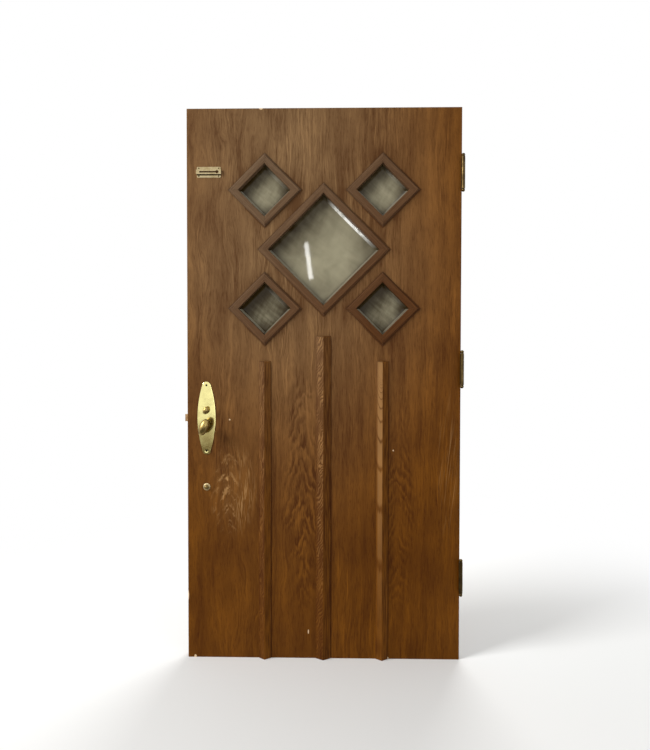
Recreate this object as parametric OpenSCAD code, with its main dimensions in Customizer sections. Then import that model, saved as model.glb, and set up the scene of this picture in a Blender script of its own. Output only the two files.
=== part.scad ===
// Flush entry door leaf with five diamond lites, planted ridge mouldings, a mortise lock,
// a mortise bolt, a chain guard plate and three ball-tipped butt hinges.
// X runs across the leaf towards the hinges, Y from the room to the street, Z up. Millimetres.
// The origin is the middle of the leaf's bottom edge.

/* [Leaf] */
// Width of the leaf
door_w = 1060; // [1000:10:1120]
// Height of the leaf
door_h = 2136; // [2080:4:2200]
// Thickness of the leaf
door_t = 44.5; // [42:0.5:50]
// Chamfer along the two long edges
edge_ease = 1.5; // [0.5:0.1:2.5]

/* [Lites] */
// Top of the leaf down to the middle of the centre lite
lite_drop = 541; // [520:1:560]
// Sideways and upright distance from the centre lite to a corner lite
lite_pitch = 228; // [222:1:236]
// Side of the clear square in the centre lite
centre_sight = 305; // [285:1:315]
// Side of the clear square in a corner lite
small_sight = 144; // [125:1:150]
// Face width of a lite frame
frame_w = 28.5; // [25:0.5:32]
// How far a lite frame stands out from the leaf
frame_proud = 9; // [7:0.5:12]
// Width of the step along a lite frame's outer foot
foot_w = 4; // [2:0.5:6]
// Height of that step
foot_proud = 3.5; // [2:0.5:5]
// Radius of a lite frame's outer shoulder
shoulder_r = 3; // [1:0.5:3.5]
// Chamfer along a lite frame's inner edge
inner_ease = 1.5; // [0.5:0.5:3]
// Width of the stop that reaches into the opening and holds the glass
stop_w = 11; // [8:0.5:14]
// Hairline between two mitred strips
mitre_gap = 0.3; // [0.1:0.1:0.6]
// Thickness of the glass
glass_t = 6; // [5:0.5:8]
// Width of the bevel round a pane
bevel_w = 12.7; // [8:0.1:18]
// Depth of the bevel
bevel_drop = 2; // [1:0.1:2.5]
// Room between a pane's edge and its opening
glass_play = 0.8; // [0.4:0.1:2]

/* [Ridge mouldings] */
// Width of the middle ridge
ridge_mid_w = 57; // [45:1:70]
// Width of a side ridge
ridge_side_w = 46; // [36:1:60]
// How far a ridge stands out
ridge_proud = 18; // [12:0.5:24]
// Thickness of a ridge at its feet
ridge_foot = 2; // [0.5:0.1:4]
// Width of the flat along the crest
ridge_crest = 1.5; // [0.5:0.1:4]
// Fall of the top cut from the face to the crest
ridge_cut = 7; // [0:0.5:12]
// Middle frame's lower corner down to the middle ridge
ridge_mid_gap = 78; // [60:1:100]
// Lower frames' lower corners down to the side ridges
ridge_side_gap = 61; // [40:1:80]

/* [Hinges] */
// Length of a hinge
hinge_h = 114.3; // [100:0.1:130]
// Pin axis to the far edge of a hinge leaf
leaf_reach = 57.15; // [54:0.05:60]
// Thickness of a hinge leaf
leaf_t = 3.2; // [2.5:0.1:4]
// Gap between the closed hinge leaves
leaf_gap = 3; // [2:0.1:4]
// Street face of the leaf to the edge of the hinge leaf
leaf_backset = 6.35; // [4:0.05:9]
// Outer diameter of the knuckles
barrel_d = 14.3; // [13:0.1:16]
// Diameter of the pin
pin_d = 8; // [6:0.1:9]
// Gap between two knuckles
knuckle_gap = 0.4; // [0.3:0.1:0.8]
// Diameter of a ball tip
ball_d = 13.5; // [10:0.5:14]
// Diameter of the collar under a ball tip
collar_d = 14; // [12:0.5:15]
// Thickness of that collar
collar_h = 4; // [2:0.5:5]
// Top of the leaf down to the middle of the top hinge
hinge_top_drop = 254; // [200:1:300]
// Bottom of the leaf up to the middle of the middle hinge
hinge_mid_z = 1133; // [1000:1:1200]
// Bottom of the leaf up to the middle of the bottom hinge
hinge_low_z = 328; // [200:1:380]
// Half the spacing of the outer screws in a hinge leaf
hole_outer = 44.5; // [40:0.5:46]
// Half the spacing of the inner screws in a hinge leaf
hole_inner = 17.5; // [12:0.5:24]
// Far edge of a hinge leaf to its outer screws
hole_edge = 12; // [9:0.5:14]
// Outer screws to the inner screws, across the hinge leaf
hole_step = 14; // [8:0.5:16]
// Screw holes in the jamb leaves, for the fitter's screws
jamb_hole_d = 6; // [5.8:0.1:6.5]
// Diameter of a hinge screw
hinge_screw_d = 5; // [4.5:0.1:5.2]
// Head diameter of a hinge screw
hinge_head_d = 9.5; // [8.5:0.1:10]
// Length of a hinge screw
hinge_screw_l = 32; // [20:1:50]

/* [Mortise lock] */
// Bottom of the leaf up to the middle of the lock
lock_z = 941; // [900:1:1000]
// Free edge to the axis of the knobs
backset = 74.5; // [65:0.5:80]
// Middle of the lock down to the axis of the knobs
knob_drop = 30; // [25:0.5:32]
// Middle of the lock up to the axis of the turn knob
turn_rise = 31; // [30.5:0.5:38]
// Height of the lock case
case_h = 150; // [140:1:160]
// Depth of the lock case
case_d = 117; // [112:1:124]
// Thickness of the lock case
case_t = 22; // [20:0.5:24]
// Thickness of the lock case's plates
case_wall = 2.5; // [2:0.1:3]
// Height of the lock front
front_h = 203; // [190:1:220]
// Width of the lock front
front_w = 27; // [25:0.5:30]
// Thickness of the lock front
front_t = 3.2; // [2.5:0.1:4]
// Lock front's end to its screw
front_screw_edge = 10; // [8:0.5:12]
// Height of the latch bolt
latch_h = 28; // [24:0.5:30]
// Thickness of the latch bolt
latch_t = 13; // [11:0.5:14]
// How far the latch bolt stands out of the edge
latch_out = 13; // [10:0.5:14]
// Height of the notch in the latch bolt
latch_notch = 8; // [5:0.5:10]
// Height of the deadbolt
dead_h = 24; // [20:0.5:26]
// Thickness of the deadbolt
dead_t = 13; // [11:0.5:14]
// Cam axis to the cam's pin
cam_r = 16; // [14:0.5:17]
// Diameter of the cam's pin
cam_pin_d = 6; // [5:0.5:7]
// Diameter of the hub
hub_d = 22; // [20:0.5:23]
// Hub axis to the tip of its arm
hub_arm = 20; // [19:0.5:20.5]
// Width of the hub's arm
hub_arm_w = 6; // [5:0.5:7]
// Wire of the latch spring
spring_wire = 1.2; // [0.8:0.1:1.6]
// Outer diameter of the latch spring
spring_d = 9; // [8:0.5:10]
// Turns of the latch spring
spring_turns = 8; // [5:1:10]

/* [Knobs and plates] */
// Length of an escutcheon
plate_l = 284; // [270:1:300]
// Width of an escutcheon
plate_w = 70; // [64:1:78]
// Radius of an escutcheon's ends
plate_tip = 16.5; // [14:0.5:22]
// Thickness of an escutcheon
plate_t = 3; // [2:0.1:4]
// Escutcheon's end to its screw
plate_screw_edge = 14; // [11:0.5:16]
// Length of a knob's oval head
knob_l = 65; // [54:1:70]
// Diameter of a knob's oval head
knob_w = 36; // [32:0.5:42]
// Radius of the oval head's ends
knob_tip = 13; // [10:0.5:15]
// Lean of the oval head from upright, in degrees
knob_lean = 22; // [0:1:45]
// Escutcheon to the middle of the knob's head
knob_out = 48; // [44:0.5:60]
// Diameter of a knob's shank
shank_d = 17; // [15:0.5:19]
// Diameter of the flare where the shank meets the plate
flare_d = 26; // [22:0.5:30]
// Length of that flare
flare_l = 9; // [6:0.5:12]
// Side of the square spindle
spindle_a = 8; // [7:0.1:8.5]
// Diameter of a set screw
set_d = 4; // [3:0.1:5]
// Length of the turn knob's oval head
turn_l = 31; // [26:0.5:34]
// Diameter of the turn knob's oval head
turn_w = 22; // [18:0.5:24]
// Radius of that oval's ends
turn_tip = 9; // [7:0.5:10]
// Escutcheon to the middle of the turn knob's head
turn_out = 13; // [12.5:0.5:18]
// Diameter of the turn knob's shank
turn_shank_d = 10; // [9:0.5:11]
// Side of the turn knob's square spindle
turn_a = 5; // [4:0.1:5.5]
// Diameter of the key cylinder
cyl_d = 29; // [27:0.5:31]
// Diameter of the key cylinder's rim
cyl_rim_d = 34; // [32:0.5:38]
// Height of the key cylinder's rim
cyl_rim_h = 3.5; // [2:0.5:5]
// Diameter of the cylinder plug
plug_d = 13; // [12:0.5:14]
// Width of the keyway
key_w = 2.2; // [1.5:0.1:3]
// Height of the keyway
key_h = 8.5; // [7:0.5:10]
// Depth of the keyway
key_depth = 22; // [15:1:25]
// Diameter of a plate screw
plate_screw_d = 4; // [3:0.1:5]
// Head diameter of a plate screw
plate_head_d = 8; // [7:0.1:9]
// Length of a plate screw
plate_screw_l = 19; // [15:1:20]
// Length of a lock front screw
front_screw_l = 28; // [20:1:35]

/* [Chain guard] */
// Free edge to the middle of the chain guard plate
guard_in = 86; // [80:1:100]
// Top of the leaf down to the middle of the chain guard plate
guard_drop = 244; // [230:1:260]
// Least clear wood between the chain guard plate and the frame of the upper lite
guard_clear = 20; // [10:1:30]
// Length of the raised channel
guard_l = 97; // [90:1:105]
// Height of the chain guard plate
guard_h = 41; // [38:1:46]
// How much shorter the flanges are than the channel, at each end
guard_inset = 2.5; // [1:0.5:5]
// Corner radius of the flanges
guard_corner = 3; // [1:0.5:5]
// Height of the raised channel
channel_h = 17; // [15:0.5:19]
// How far the channel stands out
channel_proud = 8; // [7:0.5:10]
// Sheet thickness of the chain guard plate
sheet_t = 1.6; // [1.2:0.1:2]
// Height of the slot
slot_h = 6; // [5.5:0.1:7]
// Length of the slot between the middles of its ends
slot_l = 66; // [55:1:70]
// Diameter of the slot's entry hole
entry_d = 12; // [9:0.5:12.5]
// Spacing of the guard's screws along the plate
guard_screw_x = 77; // [70:1:80]
// Spacing of the guard's screws up the plate
guard_screw_z = 30; // [28:0.5:31]
// Diameter of a guard screw
guard_screw_d = 3; // [2.5:0.1:3.5]
// Head diameter of a guard screw
guard_head_d = 5.5; // [5:0.1:6]
// Length of a guard screw
guard_screw_l = 16; // [10:1:25]

/* [Mortise bolt] */
// Bottom of the leaf up to the axis of the bolt's turn
bolt_z = 672; // [600:1:720]
// Height of the bolt's face plate
bolt_front_h = 68; // [64:1:76]
// Width of that face plate
bolt_front_w = 22; // [20:0.5:26]
// Thickness of that face plate
bolt_front_t = 2.5; // [2:0.1:3]
// Turn axis down to the bottom of the bolt case
bolt_case_low = 12; // [11:0.5:14]
// Turn axis up to the top of the bolt case
bolt_case_high = 20; // [18:0.5:22]
// Depth of the bolt case
bolt_case_d = 96; // [92:1:104]
// Thickness of the bolt case
bolt_case_t = 14; // [13:0.5:16]
// Thickness of the bolt case's plates
bolt_wall = 2; // [1.5:0.1:2.2]
// Height of the bolt
bolt_h = 16; // [14:0.5:18]
// Thickness of the bolt
bolt_t = 8; // [7:0.5:8.5]
// Turn axis to the crank's pin
crank_r = 9; // [8:0.5:10]
// Diameter of the crank's pin
crank_pin_d = 5; // [4:0.5:5.5]
// Diameter of the rose
rose_d = 28; // [24:0.5:34]
// Thickness of the rose
rose_t = 3; // [2:0.5:4]
// Diameter of the turn's button head
button_d = 16; // [14:0.5:20]
// Diameter of the turn's shank
button_shank_d = 9; // [8:0.5:10]
// Rose to the top of the button head
button_out = 10; // [9.5:0.5:14]
// Height of the button head's straight rim
button_lip = 1; // [0.5:0.1:1.2]

/* [Fits] */
// Radial clearance of what turns or slides in a bore
run_fit = 0.08; // [0.03:0.01:0.1]
// Clearance beside flat sliding faces and free ends
slide_fit = 0.4; // [0.3:0.05:0.6]
// Clearance of a screw in its hole, and of a square in its socket
snug_fit = 0.05; // [0.02:0.01:0.1]
// Clearance of a case in its mortise
mortise_fit = 0.5; // [0.2:0.1:0.9]
// Clearance of a crank pin in its slot
yoke_fit = 0.8; // [0.7:0.05:1]

/* [Hidden] */

$fn = 64;
// Segments of the wide arcs
wide_fn = 360;
// Overshoot of cuts
cut = 1;
// Overlap that joins the solids of one piece
lap = 1;

// Faces and edges of the leaf
room_y = -door_t / 2;
street_y = door_t / 2;
free_x = -door_w / 2;
hang_x = door_w / 2;

// Lites
lite_z = door_h - lite_drop;
low_lite_z = lite_z - lite_pitch;
centre_corner = (centre_sight / 2 + frame_w) * sqrt(2);
small_corner = (small_sight / 2 + frame_w) * sqrt(2);
rim_y = -glass_t / 2 + bevel_drop;
ridge_mid_top = lite_z - centre_corner - ridge_mid_gap;
ridge_side_top = low_lite_z - small_corner - ridge_side_gap;

// Hinges
hinge_zs = [door_h - hinge_top_drop, hinge_mid_z, hinge_low_z];
leaf_in = door_t - leaf_backset;
pin_x = hang_x + leaf_gap / 2;
pin_y = room_y - (leaf_reach - leaf_in);
knuckle_count = 5;
knuckle_l = (hinge_h - (knuckle_count - 1) * knuckle_gap) / knuckle_count;
leaf_start = barrel_d / 2 + 2 * knuckle_gap;
door_knuckles = [1, 3];
jamb_knuckles = [0, 2, 4];
leaf_holes = [
    for (s = [-1, 1]) [leaf_reach - hole_edge, s * hole_outer],
    for (s = [-1, 1]) [leaf_reach - hole_edge - hole_step, s * hole_inner]
];

// Lock
knob_x = free_x + backset;
knob_z = lock_z - knob_drop;
turn_z = lock_z + turn_rise;
case_x = free_x + front_t;
case_end = case_x + case_d;
inner_y = case_t / 2 - case_wall;
half_throw = 45;
dead_throw = 2 * cam_r * sin(half_throw);
arm_play = 1.3;
foot_x = knob_x + hub_arm_w / 2 + arm_play;
foot_l = 6;
foot_end = foot_x + foot_l;
tail_low = knob_z + hub_arm + slide_fit + 0.6;
tail_high = lock_z + latch_h / 2 - 7;
tail_z = (tail_low + tail_high) / 2;
tail_t = 8;
trunnion_d = hub_d - 5;
cam_hub_d = 12;
cam_t = 3.6;
cam_y = -inner_y + slide_fit;
dead_tail_t = 6;
spring_rod_d = spring_d - 2 * spring_wire - 1.4;
spring_rod_l = case_end - case_wall - foot_end - latch_out - 5;
plug_cam_t = 3;
plug_cam_y = inner_y - plug_cam_t - slide_fit;

// Plates and knobs
plate_front = door_t / 2 + plate_t;
knob_mid = plate_front + knob_out;
spindle_end = plate_front + knob_out - knob_w / 2 + 3;
set_at = plate_front + flare_l + 5;
shank_in = case_t / 2 + slide_fit;
turn_mid = plate_front + turn_out;
turn_in = turn_mid - turn_w / 2;

// Chain guard
guard_x = free_x + guard_in;
guard_end = guard_x + guard_l / 2;
frame_side_z = lite_z + lite_pitch + small_corner + min(guard_end + lite_pitch, 0);
guard_least_z = frame_side_z + guard_clear * sqrt(2) + guard_h / 2;
guard_z = max(door_h - guard_drop, guard_least_z);

// Mortise bolt
bolt_case_x = free_x + bolt_front_t;
bolt_case_end = bolt_case_x + bolt_case_d;
bolt_inner = bolt_case_t / 2 - bolt_wall;
bolt_throw = 2 * crank_r * sin(half_throw);
crank_t = 3.2;
crank_y = -bolt_inner + slide_fit;
bolt_hub_d = 11;
bolt_socket_end = crank_y + crank_t - 1;
bolt_pivot_d = 6;
yoke_t = 3;
yoke_y = crank_y + crank_t + slide_fit;
yoke_low = bolt_pivot_d / 2 + 0.6;
yoke_high = crank_r + crank_pin_d / 2 + yoke_fit + 3;

// Colours
oak = "#6b4926";
oak_dark = "#54331a";
glass_tint = "#8a8672";
brass = "#c9b25a";
old_brass = "#5a4a2a";
steel = "#7d7d78";

// Helpers: an outline given in X and Z or in Y and Z, extruded along the third axis
module along_y(y0, y1) {
    translate([0, y1, 0]) rotate([90, 0, 0]) linear_extrude(y1 - y0) children();
}

module along_x(x0, x1) {
    translate([x0, 0, 0]) rotate([90, 0, 90]) linear_extrude(x1 - x0) children();
}

module rod_y(d, y0, y1) {
    translate([0, y0, 0]) rotate([-90, 0, 0]) cylinder(d = d, h = y1 - y0);
}

module rod_x(d, x0, x1) {
    translate([x0, 0, 0]) rotate([0, 90, 0]) cylinder(d = d, h = x1 - x0);
}

module block(x0, x1, y0, y1, z0, z1) {
    translate([x0, y0, z0]) cube([x1 - x0, y1 - y0, z1 - z0]);
}

module square_y(a, y0, y1) {
    block(-a / 2, a / 2, y0, y1, -a / 2, a / 2);
}

// Long oval of four arcs: two wide sides and two round ends
module oval(l, w, tip) {
    reach = l / 2 - tip;
    side = (w * w / 4 + reach * reach - tip * tip) / (w - 2 * tip);
    meet = reach * side / (side - tip);
    intersection() {
        translate([side - w / 2, 0]) circle(r = side, $fn = wide_fn);
        translate([w / 2 - side, 0]) circle(r = side, $fn = wide_fn);
        square([w, 2 * meet], center = true);
    }
    for (s = [-1, 1]) translate([0, s * reach]) circle(r = tip);
}

// The same oval turned about its long axis
module oval_turned(l, w, tip) {
    rotate_extrude() intersection() {
        oval(l, w, tip);
        translate([0, -l / 2]) square([w / 2, l]);
    }
}

// Countersunk screw: the head's flat top at the origin, the shank down -Z
module screw(d, head, l) {
    sink = (head - d) / 2;
    point = d;
    difference() {
        union() {
            translate([0, 0, -sink]) cylinder(d1 = d, d2 = head, h = sink);
            translate([0, 0, point - l]) cylinder(d = d, h = l - point - sink);
            translate([0, 0, -l]) cylinder(d1 = d / 4, d2 = d, h = point);
        }
        slot = d / 5;
        translate([-head, -slot / 2, -sink * 0.6]) cube([2 * head, slot, sink]);
    }
}

// What a screw leaves free: countersink and hole
module screw_room(d, head, l) {
    sink = (head - d) / 2;
    translate([0, 0, -sink]) cylinder(d1 = d + 2 * snug_fit, d2 = head + 2 * snug_fit, h = sink);
    translate([0, 0, -l - cut]) cylinder(d = d + 2 * snug_fit, h = l + cut);
    cylinder(d = head + 2 * snug_fit, h = cut);
}

module from_room() {
    rotate([90, 0, 0]) children();
}

module from_street() {
    rotate([-90, 0, 0]) children();
}

module from_free_edge() {
    rotate([0, -90, 0]) children();
}

module from_hang_edge() {
    rotate([0, 90, 0]) children();
}

// Lites: where each one stands and how large it is
module at_lite(sx, sz) {
    translate([sx * lite_pitch, 0, lite_z + sz * lite_pitch]) rotate([0, 45, 0]) children();
}

module lite_opening(sight) {
    side = sight + 2 * stop_w;
    along_y(room_y - cut, street_y + cut) square(side, center = true);
}

// Section of a lite frame in depth (out of the face) and across (outwards from the sight edge)
module frame_section(depth) {
    shoulder = frame_w - foot_w;
    polygon([
        [-depth, 0],
        [frame_proud - inner_ease, 0],
        [frame_proud, inner_ease],
        [frame_proud, shoulder - shoulder_r],
        [frame_proud - shoulder_r, shoulder],
        [foot_proud, shoulder],
        [foot_proud, frame_w],
        [0, frame_w],
        [0, stop_w],
        [-depth, stop_w]
    ]);
    translate([frame_proud - shoulder_r, shoulder - shoulder_r]) circle(r = shoulder_r);
}

// Four mitred strips round one lite, on the room face; depth is how far the stop reaches in
module lite_frame(sight, depth) {
    half = sight / 2;
    outer = half + frame_w;
    hair = mitre_gap / sqrt(2);
    for (a = [0:90:270]) rotate([0, a, 0]) intersection() {
        translate([0, room_y, -half]) along_x(-outer, outer) mirror([0, 1]) mirror([1, 0])
            frame_section(depth);
        along_y(room_y - frame_proud - cut, cut * 10) polygon([
            [hair - half, -half],
            [half - hair, -half],
            [outer - hair, -outer],
            [hair - outer, -outer]
        ]);
    }
}

module room_frame(sx, sz, sight) {
    color(oak_dark) at_lite(sx, sz) lite_frame(sight, rim_y - room_y);
}

module street_frame(sx, sz, sight) {
    color(oak_dark) mirror([0, 1, 0]) at_lite(sx, sz) lite_frame(sight, street_y - glass_t / 2);
}

// Bevelled pane: the bevel starts at the sight edge, and its thin rim sits between the stops
module pane(sx, sz, sight) {
    half = sight / 2;
    rim = half + stop_w - glass_play;
    flat = half - bevel_w;
    color(glass_tint) at_lite(sx, sz) intersection_for (a = [0, 90]) rotate([0, a, 0])
        along_x(-rim, rim) polygon([
            [glass_t / 2, -rim],
            [glass_t / 2, rim],
            [rim_y, rim],
            [rim_y, half],
            [-glass_t / 2, flat],
            [-glass_t / 2, -flat],
            [rim_y, -half],
            [rim_y, -rim]
        ]);
}

// Ridge moulding with its top end cut back towards the crest
module ridge(x, w, top) {
    color(oak) translate([x, room_y, 0]) intersection() {
        linear_extrude(top) polygon([
            [-w / 2, 0],
            [-w / 2, -ridge_foot],
            [-ridge_crest / 2, -ridge_proud],
            [ridge_crest / 2, -ridge_proud],
            [w / 2, -ridge_foot],
            [w / 2, 0]
        ]);
        along_x(-w, w) polygon([
            [0, 0],
            [0, top],
            [-ridge_proud, top - ridge_cut],
            [-ridge_proud, 0]
        ]);
    }
}

module ridge_moulding_centre() {
    ridge(0, ridge_mid_w, ridge_mid_top);
}

module ridge_moulding_left() {
    ridge(-lite_pitch, ridge_side_w, ridge_side_top);
}

module ridge_moulding_right() {
    ridge(lite_pitch, ridge_side_w, ridge_side_top);
}

// Leaf
module slab_body() {
    linear_extrude(door_h) polygon([
        [free_x, room_y + edge_ease],
        [free_x + edge_ease, room_y],
        [hang_x - edge_ease, room_y],
        [hang_x, room_y + edge_ease],
        [hang_x, street_y - edge_ease],
        [hang_x - edge_ease, street_y],
        [free_x + edge_ease, street_y],
        [free_x, street_y - edge_ease]
    ]);
}

module hinge_mortises() {
    for (z = hinge_zs) {
        translate([pin_x, pin_y, z]) {
            block(-leaf_gap / 2 - leaf_t, cut, 0, leaf_reach, -hinge_h / 2, hinge_h / 2);
            for (h = leaf_holes) translate([-leaf_gap / 2, h[0], h[1]]) from_hang_edge()
                screw_room(hinge_screw_d, hinge_head_d, hinge_screw_l);
        }
    }
}

module lock_mortise() {
    fit = mortise_fit;
    translate([0, 0, lock_z]) {
        block(free_x - cut, case_end + fit, -case_t / 2 - fit, case_t / 2 + fit,
            -case_h / 2 - fit, case_h / 2 + fit);
        block(free_x - cut, case_x, -front_w / 2, front_w / 2, -front_h / 2, front_h / 2);
        for (s = [-1, 1]) translate([free_x, 0, s * (front_h / 2 - front_screw_edge)])
            from_free_edge() screw_room(plate_screw_d, plate_head_d, front_screw_l);
    }
    translate([knob_x, 0, knob_z]) rod_y(shank_d + 4, room_y - cut, street_y + cut);
    translate([knob_x, 0, turn_z]) {
        rod_y(turn_shank_d + 3, room_y - cut, 0);
        rod_y(cyl_d + 2 * mortise_fit, 0, street_y + cut);
    }
    for (s = [-1, 1]) translate([knob_x, 0, lock_z + s * (plate_l / 2 - plate_screw_edge)]) {
        translate([0, -plate_front, 0]) from_room()
            screw_room(plate_screw_d, plate_head_d, plate_screw_l);
        translate([0, plate_front, 0]) from_street()
            screw_room(plate_screw_d, plate_head_d, plate_screw_l);
    }
}

module bolt_mortise() {
    fit = mortise_fit;
    translate([0, 0, bolt_z]) {
        block(free_x - cut, bolt_case_end + fit, -bolt_case_t / 2 - fit, bolt_case_t / 2 + fit,
            -bolt_case_low - fit, bolt_case_high + fit);
        translate([0, 0, (bolt_case_high - bolt_case_low) / 2]) {
            block(free_x - cut, bolt_case_x, -bolt_front_w / 2, bolt_front_w / 2,
                -bolt_front_h / 2, bolt_front_h / 2);
            for (s = [-1, 1]) translate([free_x, 0, s * (bolt_front_h / 2 - front_screw_edge)])
                from_free_edge() screw_room(plate_screw_d, plate_head_d, front_screw_l);
        }
        translate([knob_x, 0, 0]) rod_y(bolt_hub_d + 3, room_y - cut, 0);
    }
}

module guard_screw_places() {
    for (sx = [-1, 1], sz = [-1, 1])
        translate([guard_x + sx * guard_screw_x / 2, room_y - sheet_t,
            guard_z + sz * guard_screw_z / 2]) from_room() children();
}

module door_slab() {
    color(oak) difference() {
        slab_body();
        at_lite(0, 0) lite_opening(centre_sight);
        for (sx = [-1, 1], sz = [-1, 1]) at_lite(sx, sz) lite_opening(small_sight);
        hinge_mortises();
        lock_mortise();
        bolt_mortise();
        guard_screw_places() screw_room(guard_screw_d, guard_head_d, guard_screw_l);
    }
}

// Butt hinges, drawn about the pin axis
module at_hinge(i) {
    translate([pin_x, pin_y, hinge_zs[i]]) children();
}

module knuckle(i, d) {
    translate([0, 0, i * (knuckle_l + knuckle_gap) - hinge_h / 2]) cylinder(d = d, h = knuckle_l);
}

// Door leaf as drawn; the jamb leaf is its mirror image with the other knuckles
module hinge_leaf(knuckles, hole_d, head_d) {
    difference() {
        union() {
            block(-leaf_gap / 2 - leaf_t, -leaf_gap / 2, leaf_start, leaf_reach,
                -hinge_h / 2, hinge_h / 2);
            for (i = knuckles) {
                knuckle(i, barrel_d);
                translate([0, 0, i * (knuckle_l + knuckle_gap)])
                    block(-leaf_gap / 2 - leaf_t, -leaf_gap / 2, 0, leaf_start + lap,
                        -hinge_h / 2, knuckle_l - hinge_h / 2);
            }
        }
        translate([0, 0, -hinge_h / 2 - cut])
            cylinder(d = pin_d + 2 * run_fit, h = hinge_h + 2 * cut);
        for (h = leaf_holes) translate([-leaf_gap / 2, h[0], h[1]]) from_hang_edge()
            screw_room(hole_d, head_d, leaf_t);
    }
}

module door_leaf(i) {
    color(old_brass) at_hinge(i) hinge_leaf(door_knuckles, hinge_screw_d, hinge_head_d);
}

module jamb_leaf(i) {
    color(old_brass) at_hinge(i) mirror([1, 0, 0])
        hinge_leaf(jamb_knuckles, jamb_hole_d - 2 * snug_fit, hinge_head_d + 1);
}

// Ball tip with its collar: the collar's underside at the origin
module ball_tip() {
    cylinder(d = collar_d, h = collar_h);
    translate([0, 0, collar_h + ball_d * 0.4]) sphere(d = ball_d);
}

plug_stem = knuckle_l * 0.6;

module hinge_pin(i) {
    color(old_brass) at_hinge(i) {
        translate([0, 0, plug_stem + slide_fit - hinge_h / 2])
            cylinder(d = pin_d, h = hinge_h - plug_stem - slide_fit + lap);
        translate([0, 0, hinge_h / 2]) ball_tip();
    }
}

module hinge_ball_plugs() {
    color(old_brass) for (i = [0:2]) at_hinge(i) translate([0, 0, -hinge_h / 2]) {
        translate([0, 0, -lap]) cylinder(d = pin_d, h = plug_stem + lap);
        mirror([0, 0, 1]) ball_tip();
    }
}

module hinge_screws() {
    color(old_brass) for (i = [0:2]) at_hinge(i) for (h = leaf_holes)
        translate([-leaf_gap / 2, h[0], h[1]]) from_hang_edge()
            screw(hinge_screw_d, hinge_head_d, hinge_screw_l);
}

// Mortise lock
module latch_hole(grow) {
    block(free_x - latch_out - cut, case_x + case_wall + cut, -latch_t / 2 - grow, latch_t / 2 + grow,
        lock_z - latch_h / 2 - grow, lock_z + latch_h / 2 + grow);
}

module dead_hole(grow) {
    block(free_x - cut, case_x + case_wall + cut, -dead_t / 2 - grow, dead_t / 2 + grow,
        turn_z - dead_h / 2 - grow, turn_z + dead_h / 2 + grow);
}

module lock_case() {
    color(steel) difference() {
        block(case_x, case_end, -case_t / 2, inner_y, lock_z - case_h / 2, lock_z + case_h / 2);
        block(case_x + case_wall, case_end - case_wall, -inner_y, inner_y + cut,
            lock_z - case_h / 2 + case_wall, lock_z + case_h / 2 - case_wall);
        latch_hole(slide_fit);
        dead_hole(slide_fit);
        translate([knob_x, 0, knob_z]) rod_y(trunnion_d + 2 * run_fit, -case_t, 0);
        translate([knob_x, 0, turn_z]) rod_y(cam_hub_d + 2 * run_fit, -case_t, 0);
    }
}

module lock_cover() {
    color(steel) difference() {
        block(case_x, case_end, inner_y, case_t / 2, lock_z - case_h / 2, lock_z + case_h / 2);
        translate([knob_x, 0, knob_z]) rod_y(trunnion_d + 2 * run_fit, 0, case_t);
        translate([knob_x, 0, turn_z]) rod_y(cyl_d + 2 * snug_fit, 0, case_t);
    }
}

module lock_front() {
    color(brass) difference() {
        block(free_x, case_x, -front_w / 2, front_w / 2, lock_z - front_h / 2, lock_z + front_h / 2);
        latch_hole(slide_fit);
        dead_hole(slide_fit);
        for (s = [-1, 1]) translate([free_x, 0, lock_z + s * (front_h / 2 - front_screw_edge)])
            from_free_edge() screw_room(plate_screw_d, plate_head_d, front_screw_l);
    }
}

module lock_front_screws() {
    color(brass) for (s = [-1, 1])
        translate([free_x, 0, lock_z + s * (front_h / 2 - front_screw_edge)])
            from_free_edge() screw(plate_screw_d, plate_head_d, front_screw_l);
}

// Latch bolt: bevelled towards the street, notched behind its nose, with a tail that the hub draws
module latch_bolt() {
    nose_x = free_x - latch_out;
    head_end = case_x + case_wall + latch_out + 8;
    color(brass) difference() {
        union() {
            translate([0, 0, lock_z - latch_h / 2]) linear_extrude(latch_h) polygon([
                [nose_x, -latch_t / 2],
                [head_end, -latch_t / 2],
                [head_end, latch_t / 2],
                [free_x - 1, latch_t / 2],
                [nose_x, -latch_t / 2 + 3]
            ]);
            block(head_end - lap, foot_end, -tail_t / 2, tail_t / 2, tail_low, tail_high);
            block(foot_x, foot_end, -tail_t / 2, tail_t / 2, knob_z + hub_d / 2 + slide_fit, tail_high);
            translate([0, 0, tail_z]) rod_x(spring_rod_d, foot_end - lap, foot_end + spring_rod_l);
        }
        block(free_x - latch_out * 0.45, free_x - slide_fit, -latch_t, -latch_t / 2 + 3,
            lock_z - latch_notch / 2, lock_z + latch_notch / 2);
    }
}

// Latch spring: a round wire swept along a helix between the latch's foot and the case's back
spring_from = foot_end + 0.2;
spring_to = case_end - case_wall - 0.2;
spring_r = (spring_d - spring_wire) / 2;
spring_steps = 14;
spring_sides = 8;
spring_rings = spring_turns * spring_steps;

function spring_point(i, j) =
    let (turn = 360 * i / spring_steps)
    let (side = 360 * j / spring_sides)
    let (r = spring_r + spring_wire / 2 * cos(side))
    let (run = spring_to - spring_from - spring_wire)
    [
        spring_from + spring_wire / 2 + run * i / spring_rings + spring_wire / 2 * sin(side),
        r * cos(turn),
        tail_z + r * sin(turn)
    ];

module latch_spring() {
    rings = [for (i = [0:spring_rings], j = [0:spring_sides - 1]) spring_point(i, j)];
    walls = [
        for (i = [0:spring_rings - 1], j = [0:spring_sides - 1])
            let (k = (j + 1) % spring_sides)
            let (row = i * spring_sides)
            [row + j, row + k, row + spring_sides + k, row + spring_sides + j]
    ];
    start_cap = [for (j = [spring_sides - 1:-1:0]) j];
    end_cap = [for (j = [0:spring_sides - 1]) spring_rings * spring_sides + j];
    color(steel) polyhedron(points = rings, faces = concat([start_cap], walls, [end_cap]));
}

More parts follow.
